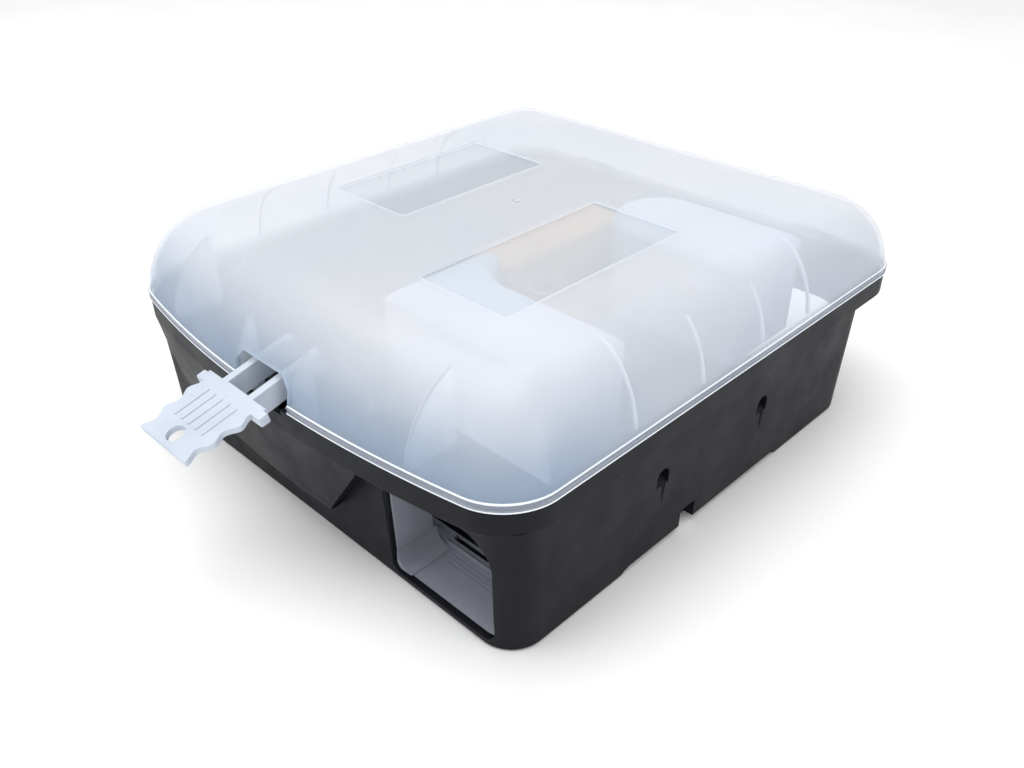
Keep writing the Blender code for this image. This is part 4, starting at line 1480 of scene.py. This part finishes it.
    def add_scoops(self, tub: bpy.types.Object) -> None:
        """Fixing scoops in both sides: boss, hole with a sloping sill, and a fading groove.

        Args:
            tub: the tub.
        """
        for side in (-1, 1):
            surface = side * (self.half_width - 0.7)
            for y in self.scoops:
                near, far = sorted((surface - side * 1.0, surface - side * 30.0))
                axis_x = surface - side * 3.0
                boss = rod("boss", (axis_x, y, 22.0), (axis_x, y, 50.0), 5.0, 8.2)
                combine(boss, "INTERSECT", [box("half", (near, y - 12, 10.0), (far, y + 12, 60.0))])
                arch = skin("arch", [self.scoop_ring(surface + side * 2.0, y, 37.6, 4.4),
                                     self.scoop_ring(surface - side * 3.2, y, 42.2, 4.0),
                                     self.scoop_ring(surface - side * 8.0, y, 43.0, 3.2)])
                groove = rod("groove", (surface + side * 0.5, y + 1.0, 19.0),
                             (surface + side * 0.1, y + 1.0, 41.0), 0.4, 1.5, bevel=0.1)
                join(tub, boss)
                cut(tub, arch, groove)

    def cut_underside(self, tub: bpy.types.Object) -> None:
        """Side arches with their roofs, tie notches and door sills.

        Args:
            tub: the tub.
        """
        for side in (-1, 1):
            outer = side * (self.half_width + 4.0)
            near, far = sorted((outer, side * self.side_recess))
            join(tub, box("roof", (side * 124.0, -84.0, self.floor - 0.8), (side * 133.5, 56.0, 6.0)))
            arch = ((-82.0, -1.0), (53.0, -1.0), (53.0, 0.0), (50.0, 0.5), (46.0, 2.6), (43.0, 3.4),
                    (-73.0, 3.4), (-76.0, 2.6), (-80.0, 0.5), (-82.0, 0.0))
            cut(tub, prism("arch", arch, near, far, axis="X"),
                box("notch", (side * 130.0, -36.0, 2.0), (outer, -25.0, 13.0)))
        for wall_y in (self.front, self.rear):
            cut(tub, box("sill", (58.0, wall_y - 4.0, -1.0), (118.0, wall_y + 4.0, 1.2)))

    def add_knuckles(self, tub: bpy.types.Object) -> None:
        """Two pairs of hinge knuckles behind the rim.

        Args:
            tub: the tub.
        """
        for side in (-1, 1):
            middle = side * HINGE_X
            for near in (-1, 1):
                start = middle + near * 7.0
                end = start + near * 6.0
                join(tub, rod("knuckle", (start, HINGE_Y, HINGE_Z), (end, HINGE_Y, HINGE_Z), 4.6),
                     box("web", (start, 147.5, 65.0), (end, HINGE_Y, HINGE_Z)))
            cut(tub, rod("bore", (middle - 17.0, HINGE_Y, HINGE_Z), (middle + 17.0, HINGE_Y, HINGE_Z),
                         HINGE_BORE, sides=24))

    def build(self) -> None:
        """Build and dress the tub."""
        tub = self.shell()
        self.add_inner_walls(tub)
        self.add_scoops(tub)
        self.cut_underside(tub)
        cut(tub, self.door_tool("door_front", self.front + self.door_wall, -1),
            self.door_tool("door_rear", self.rear - self.door_wall, 1))
        self.add_knuckles(tub)
        cut(tub, box("key_notch", (-14.0, -172.0, RIM.z - 3.2), (14.0, -155.0, RIM.z + 2.0)))
        dress(tub, self.finishes.tub, Body.STATION, ["base_tub"])


# ---------------------------------------------------------------- key and lock

@dataclass
class ForkKey:
    """The forked key: grip plate with ribs and a hole, stop nubs and two deep prongs."""

    finishes: Finishes
    shoulder: Point3 = (0.0, -175.0, 85.0)
    tilt: float = math.radians(14.0)
    plate: float = 3.0
    handle: float = 38.0
    prong: float = 36.0
    depth: float = 11.3
    prong_x: Point2 = (7.7, 11.8)
    handle_half: float = 20.5
    handle_taper: float = 4.0
    wave: Point2 = (1.4, 12.5)  # height and length of the grip's waves
    hole: Point2 = (-31.0, 4.2)  # Y and radius
    grip_ribs: int = 5
    rib_pitch: float = 5.4
    rib_lift: float = 0.62

    def half_width(self, distance: float) -> float:
        """Half the handle's width at a distance from the shoulder.

        Args:
            distance: the distance.

        Returns:
            Half the width.
        """
        height, length = self.wave
        straight = self.handle_half - self.handle_taper * distance / self.handle
        return straight + height * math.cos(2 * math.pi * distance / length)

    def build_body(self) -> bpy.types.Object:
        """The key before it is put in place.

        Returns:
            The key.
        """
        count = 72
        spots = [self.handle * step / count for step in range(count + 1)]
        right = [(self.half_width(d), -d) for d in spots]
        outline = right[::-1] + [(-x, y) for x, y in right]
        key = prism("forked_key", outline, -self.plate, 0.0)
        hole_y, hole_radius = self.hole
        cut(key, rod("hole", (0.0, hole_y, -6.0), (0.0, hole_y, 3.0), hole_radius, sides=40))
        round_edges(key, 0.6, 3, 30.0)
        join(key, box("stop", (-24.5, -6.0, -self.plate - 2.0), (24.5, -1.0, 0.0), bevel=0.9),
             box("bridge", (-self.prong_x[1], -2.2, -self.depth), (self.prong_x[1], 0.4, 0.0),
                 bevel=0.4))
        for side in (-1, 1):
            a, b = sorted((side * self.prong_x[0], side * self.prong_x[1]))
            join(key, box("prong", (a, -1.4, -self.depth), (b, self.prong, 0.0), bevel=0.6))
        return key

    def build_ribs(self) -> bpy.types.Object:
        """Lengthwise grip ribs, repeated by Geometry Nodes in the plate's face.

        Returns:
            The ribs.
        """
        rib = box("key_grip_ribs", (-0.65, -25.0, -0.8), (0.65, -7.5, 0.0), bevel=0.4)
        tree, ids = bar_row_tree()
        start = -self.rib_pitch * (self.grip_ribs - 1) / 2
        grow(rib, tree, ids, Count=self.grip_ribs, Start=(start * MM, 0.0, self.rib_lift * MM),
             Step=(self.rib_pitch * MM, 0.0, 0.0), Material=self.finishes.key)
        return outward(rib)

    def place(self, piece: bpy.types.Object) -> bpy.types.Object:
        """Tilt a piece and move it to the shoulder.

        Args:
            piece: the piece.

        Returns:
            The same piece.
        """
        turn = Matrix.Rotation(self.tilt, 4, "X")
        piece.data.transform(Matrix.Translation(Vector(self.shoulder) * MM) @ turn)
        return piece

    def build(self) -> None:
        """Build and dress the key."""
        dress(self.place(self.build_body()), self.finishes.key, Body.KEY, ["key"])
        dress(self.place(self.build_ribs()), self.finishes.key, Body.KEY)


@dataclass
class LockWorks:
    """The latches, their housing, springs and screws, and the hinge pins."""

    finishes: Finishes
    wire: float = 0.45
    coil: float = 2.6
    turns: float = 4.0
    spring_x: float = 12.5
    spring_z: float = 70.6
    per_turn: int = 26

    def spring(self, side: int) -> bpy.types.Object:
        """A compression spring as one round wire along a helix.

        Args:
            side: -1 for the left latch, 1 for the right.

        Returns:
            The spring.
        """
        label = "left" if side < 0 else "right"
        low, high = node_box(f"latch_spring_{label}")
        start, end = low.y + self.wire, high.y - self.wire
        count = int(self.turns * self.per_turn)
        line = []
        for index in range(count + 1):
            angle = 2 * math.pi * index / self.per_turn
            line.append((side * self.spring_x + self.coil * math.cos(angle),
                         start + (end - start) * index / count,
                         self.spring_z + self.coil * math.sin(angle)))
        curve = bpy.data.curves.new(f"coil_{label}", "CURVE")
        curve.dimensions = "3D"
        curve.bevel_depth = self.wire * MM
        curve.bevel_resolution = 2
        curve.use_fill_caps = True
        spline = curve.splines.new("POLY")
        spline.points.add(count)
        for point, place in zip(spline.points, line):
            point.co = (*(value * MM for value in place), 1.0)
        wire = bpy.data.objects.new(curve.name, curve)
        bpy.context.scene.collection.objects.link(wire)
        bpy.context.view_layer.update()
        solid = wire.evaluated_get(bpy.context.evaluated_depsgraph_get())
        mesh = bpy.data.meshes.new_from_object(solid)
        bpy.data.objects.remove(wire, do_unlink=True)
        return outward(add_object(f"return_spring_{label}", mesh))

    def build(self) -> None:
        """Build and dress the lock."""
        steel, lock = self.finishes.steel, self.finishes.lock
        dress(refine("lock_housing", "latch_housing", 0.4), lock, Body.STATION,
              ["lock_housing"])
        for side, body in ((-1, Body.LATCH_LEFT), (1, Body.LATCH_RIGHT)):
            label = "left" if side < 0 else "right"
            dress(refine(f"latch_{label}", f"sliding_latch_{label}", 0.4), lock, body,
                  [f"latch_{label}"])
            low, high = node_box(f"latch_spring_{label}")
            x = side * self.spring_x
            dress(self.spring(side), steel, body, [f"latch_spring_{label}"],
                  (Body.STATION, (x, low.y, self.spring_z), (x, high.y, self.spring_z)))
            for node, name, width in (("lock_screw", "pan_screw", 0.15),
                                      ("hinge_pin", "headed_pin", 0.3)):
                dress(refine(f"{node}_{label}", f"{name}_{label}", width), steel, Body.STATION,
                      [f"{node}_{label}"])


# ---------------------------------------------------------------- inside

@dataclass
class Interior:
    """Covers, liners, rack, rods, blocks and tray."""

    finishes: Finishes
    liner_ribs: int = 4
    liner_pitch: float = 2.3
    cove_x: float = 61.8
    cove_radius: float = 9.0
    cove_depth: float = 24.0
    slot_top: float = 12.0
    # Each slot's left and right X, its near and far edge from the door, and its bottom.
    slots: tuple[tuple[float, float, float, float, float], ...] = (
        (66.0, 122.0, 26.0, 28.0, 0.0), (66.0, 122.0, 30.0, 33.0, 0.0), (30.0, 142.0, 27.0, 37.0, 5.4))
    blocks: int = 6
    rods: int = 2

    def cover(self, label: str) -> None:
        """A passage cover with softened edges."""
        piece = refine(f"passage_cover_{label}", f"passage_hood_{label}", 0.5, 2, 30.0)
        dress(piece, self.finishes.insert, Body.STATION, [f"passage_cover_{label}"])

    def liner(self, label: str, inward: int) -> None:
        """A door liner: its floor runs in a cove up to the side wall, with slots round its bars.

        Args:
            label: front or rear.
            inward: 1 where inwards is +Y, -1 where it is -Y.
        """
        node = f"entry_liner_{label}"
        low, high = node_box(node)
        start = low.y if inward > 0 else high.y
        piece = refine(node, f"door_ramp_{label}", 0.0)
        floor_z, reach = low.z + 1.9, self.cove_radius
        cove = [(self.cove_x - 0.5, floor_z - 0.5)]
        for step in range(13):
            angle = math.radians(270 - 90 * step / 12)
            cove.append((self.cove_x + reach + reach * math.cos(angle),
                         floor_z + reach + reach * math.sin(angle)))
        join(piece, prism("cove", cove, start + inward * 0.4, start + inward * self.cove_depth,
                          axis="Y"))
        for left, right, near, far, bottom in self.slots:
            cut(piece, box("slot", (left, start + inward * near, bottom),
                           (right, start + inward * far, self.slot_top)))
        round_edges(piece, 0.3, 2, 40.0)
        dress(piece, self.finishes.liner, Body.STATION, [node])
        bar = box(f"ramp_grip_{label}", (72.0, -0.25, floor_z - 0.2), (122.0, 0.25, floor_z + 0.16),
                  bevel=0.1)
        tree, ids = bar_row_tree()
        grow(bar, tree, ids, Count=self.liner_ribs, Start=(0.0, (start + inward * 17.0) * MM, 0.0),
             Step=(0.0, inward * self.liner_pitch * MM, 0.0), Material=self.finishes.liner)
        dress(outward(bar), self.finishes.liner, Body.STATION)

    def block(self, number: int) -> None:
        """A wax block with its cast edges worn round.

        Args:
            number: the block's number.
        """
        node = f"bait_block_{number}"
        piece = refine(node, f"wax_block_{number}", 0.5, 3, 30.0)
        dress(piece, self.finishes.wax, Body.STATION, [node])

    def build(self) -> None:
        """Build and dress what is inside."""
        for label in ("front", "rear"):
            self.cover(label)
        self.liner("front", 1)
        self.liner("rear", -1)
        dress(refine("rod_rack", "bait_rod_rack", 0.5), self.finishes.lock, Body.STATION,
              ["rod_rack"])
        for number in range(1, self.rods + 1):
            rod_piece = refine(f"bait_rod_{number}", f"wire_rod_{number}", 0.0)
            dress(rod_piece, self.finishes.steel, Body.STATION, [f"bait_rod_{number}"])
        for number in range(1, self.blocks + 1):
            self.block(number)
        dress(refine("bait_tray", "loose_bait_tray", 0.5), self.finishes.tub, Body.STATION,
              ["bait_tray"])


# ---------------------------------------------------------------- studio

@dataclass
class Studio:
    """Pale floor, soft lights and the camera. Places here are in metres, angles in degrees.

    Each lamp has a name, a place, the side of its square and its power in watts.
    """

    finishes: Finishes
    camera_at: Point3 = (0.3178, -0.3313, 0.3029)
    heading: float = 44.74
    pitch: float = 32.91
    roll: float = -0.40
    lens: float = 33.35
    world_strength: float = 0.75
    aim_at: Point3 = (0.0, 0.0, 0.06)
    lamps: tuple[tuple[str, Point3, float, float], ...] = (
        ("overhead_softbox", (-0.25, -0.15, 1.3), 1.3, 11.0),
        ("front_softbox", (-0.5, -1.2, 0.8), 0.9, 2.2),
        ("wall_side_softbox", (1.3, 0.1, 0.6), 0.9, 3.7))

    def camera(self) -> None:
        """Place the camera."""
        turn, down, roll = (math.radians(v) for v in (self.heading, self.pitch, self.roll))
        forward = Vector((-math.sin(turn) * math.cos(down), math.cos(turn) * math.cos(down),
                          -math.sin(down)))
        right = Vector((math.cos(turn), math.sin(turn), 0.0))
        up = right.cross(forward)
        rolled_right = right * math.cos(roll) + up * math.sin(roll)
        rolled_up = up * math.cos(roll) - right * math.sin(roll)
        data = bpy.data.cameras.new("studio_camera")
        data.lens = self.lens
        data.sensor_width = 36.0
        data.clip_start = 0.01
        made = bpy.data.objects.new("studio_camera", data)
        bpy.context.scene.collection.objects.link(made)
        columns = Matrix((rolled_right, rolled_up, -forward)).transposed()
        made.matrix_world = Matrix.Translation(self.camera_at) @ columns.to_4x4()
        bpy.context.scene.camera = made

    def lights(self) -> None:
        """Add soft boxes that face the station."""
        for name, place, size, power in self.lamps:
            data = bpy.data.lights.new(name, "AREA")
            data.shape = "SQUARE"
            data.size = size
            data.energy = power
            made = bpy.data.objects.new(name, data)
            bpy.context.scene.collection.objects.link(made)
            aim = Vector(self.aim_at) - Vector(place)
            turn = aim.to_track_quat("-Z", "Y").to_matrix().to_4x4()
            made.matrix_world = Matrix.Translation(place) @ turn

    def world(self) -> None:
        """A plain white surround."""
        world = bpy.data.worlds.new("white_surround")
        world.use_nodes = True
        surround = world.node_tree.nodes["Background"]
        surround.inputs["Color"].default_value = (1.0, 1.0, 1.0, 1.0)
        surround.inputs["Strength"].default_value = self.world_strength
        bpy.context.scene.world = world
        bpy.context.scene.view_settings.view_transform = "Standard"

    def build(self) -> None:
        """Set the stage."""
        floor = box("paper_floor", (-3000.0, -3000.0, -6.0), (3000.0, 3000.0, -0.05), bevel=1.0)
        floor.data.materials.append(self.finishes.paper)
        self.world()
        self.lights()
        self.camera()


def main() -> None:
    """Build the station, piece by piece, and its studio."""
    logging.basicConfig(level=logging.INFO, format="%(name)s: %(message)s")
    finishes = Finishes()
    Studio(finishes).build()
    for assembly in (MouldedTub(finishes), DomedLid(finishes), ForkKey(finishes), LockWorks(finishes),
                     Interior(finishes)):
        assembly.build()


if __name__ == "__main__":
    main()
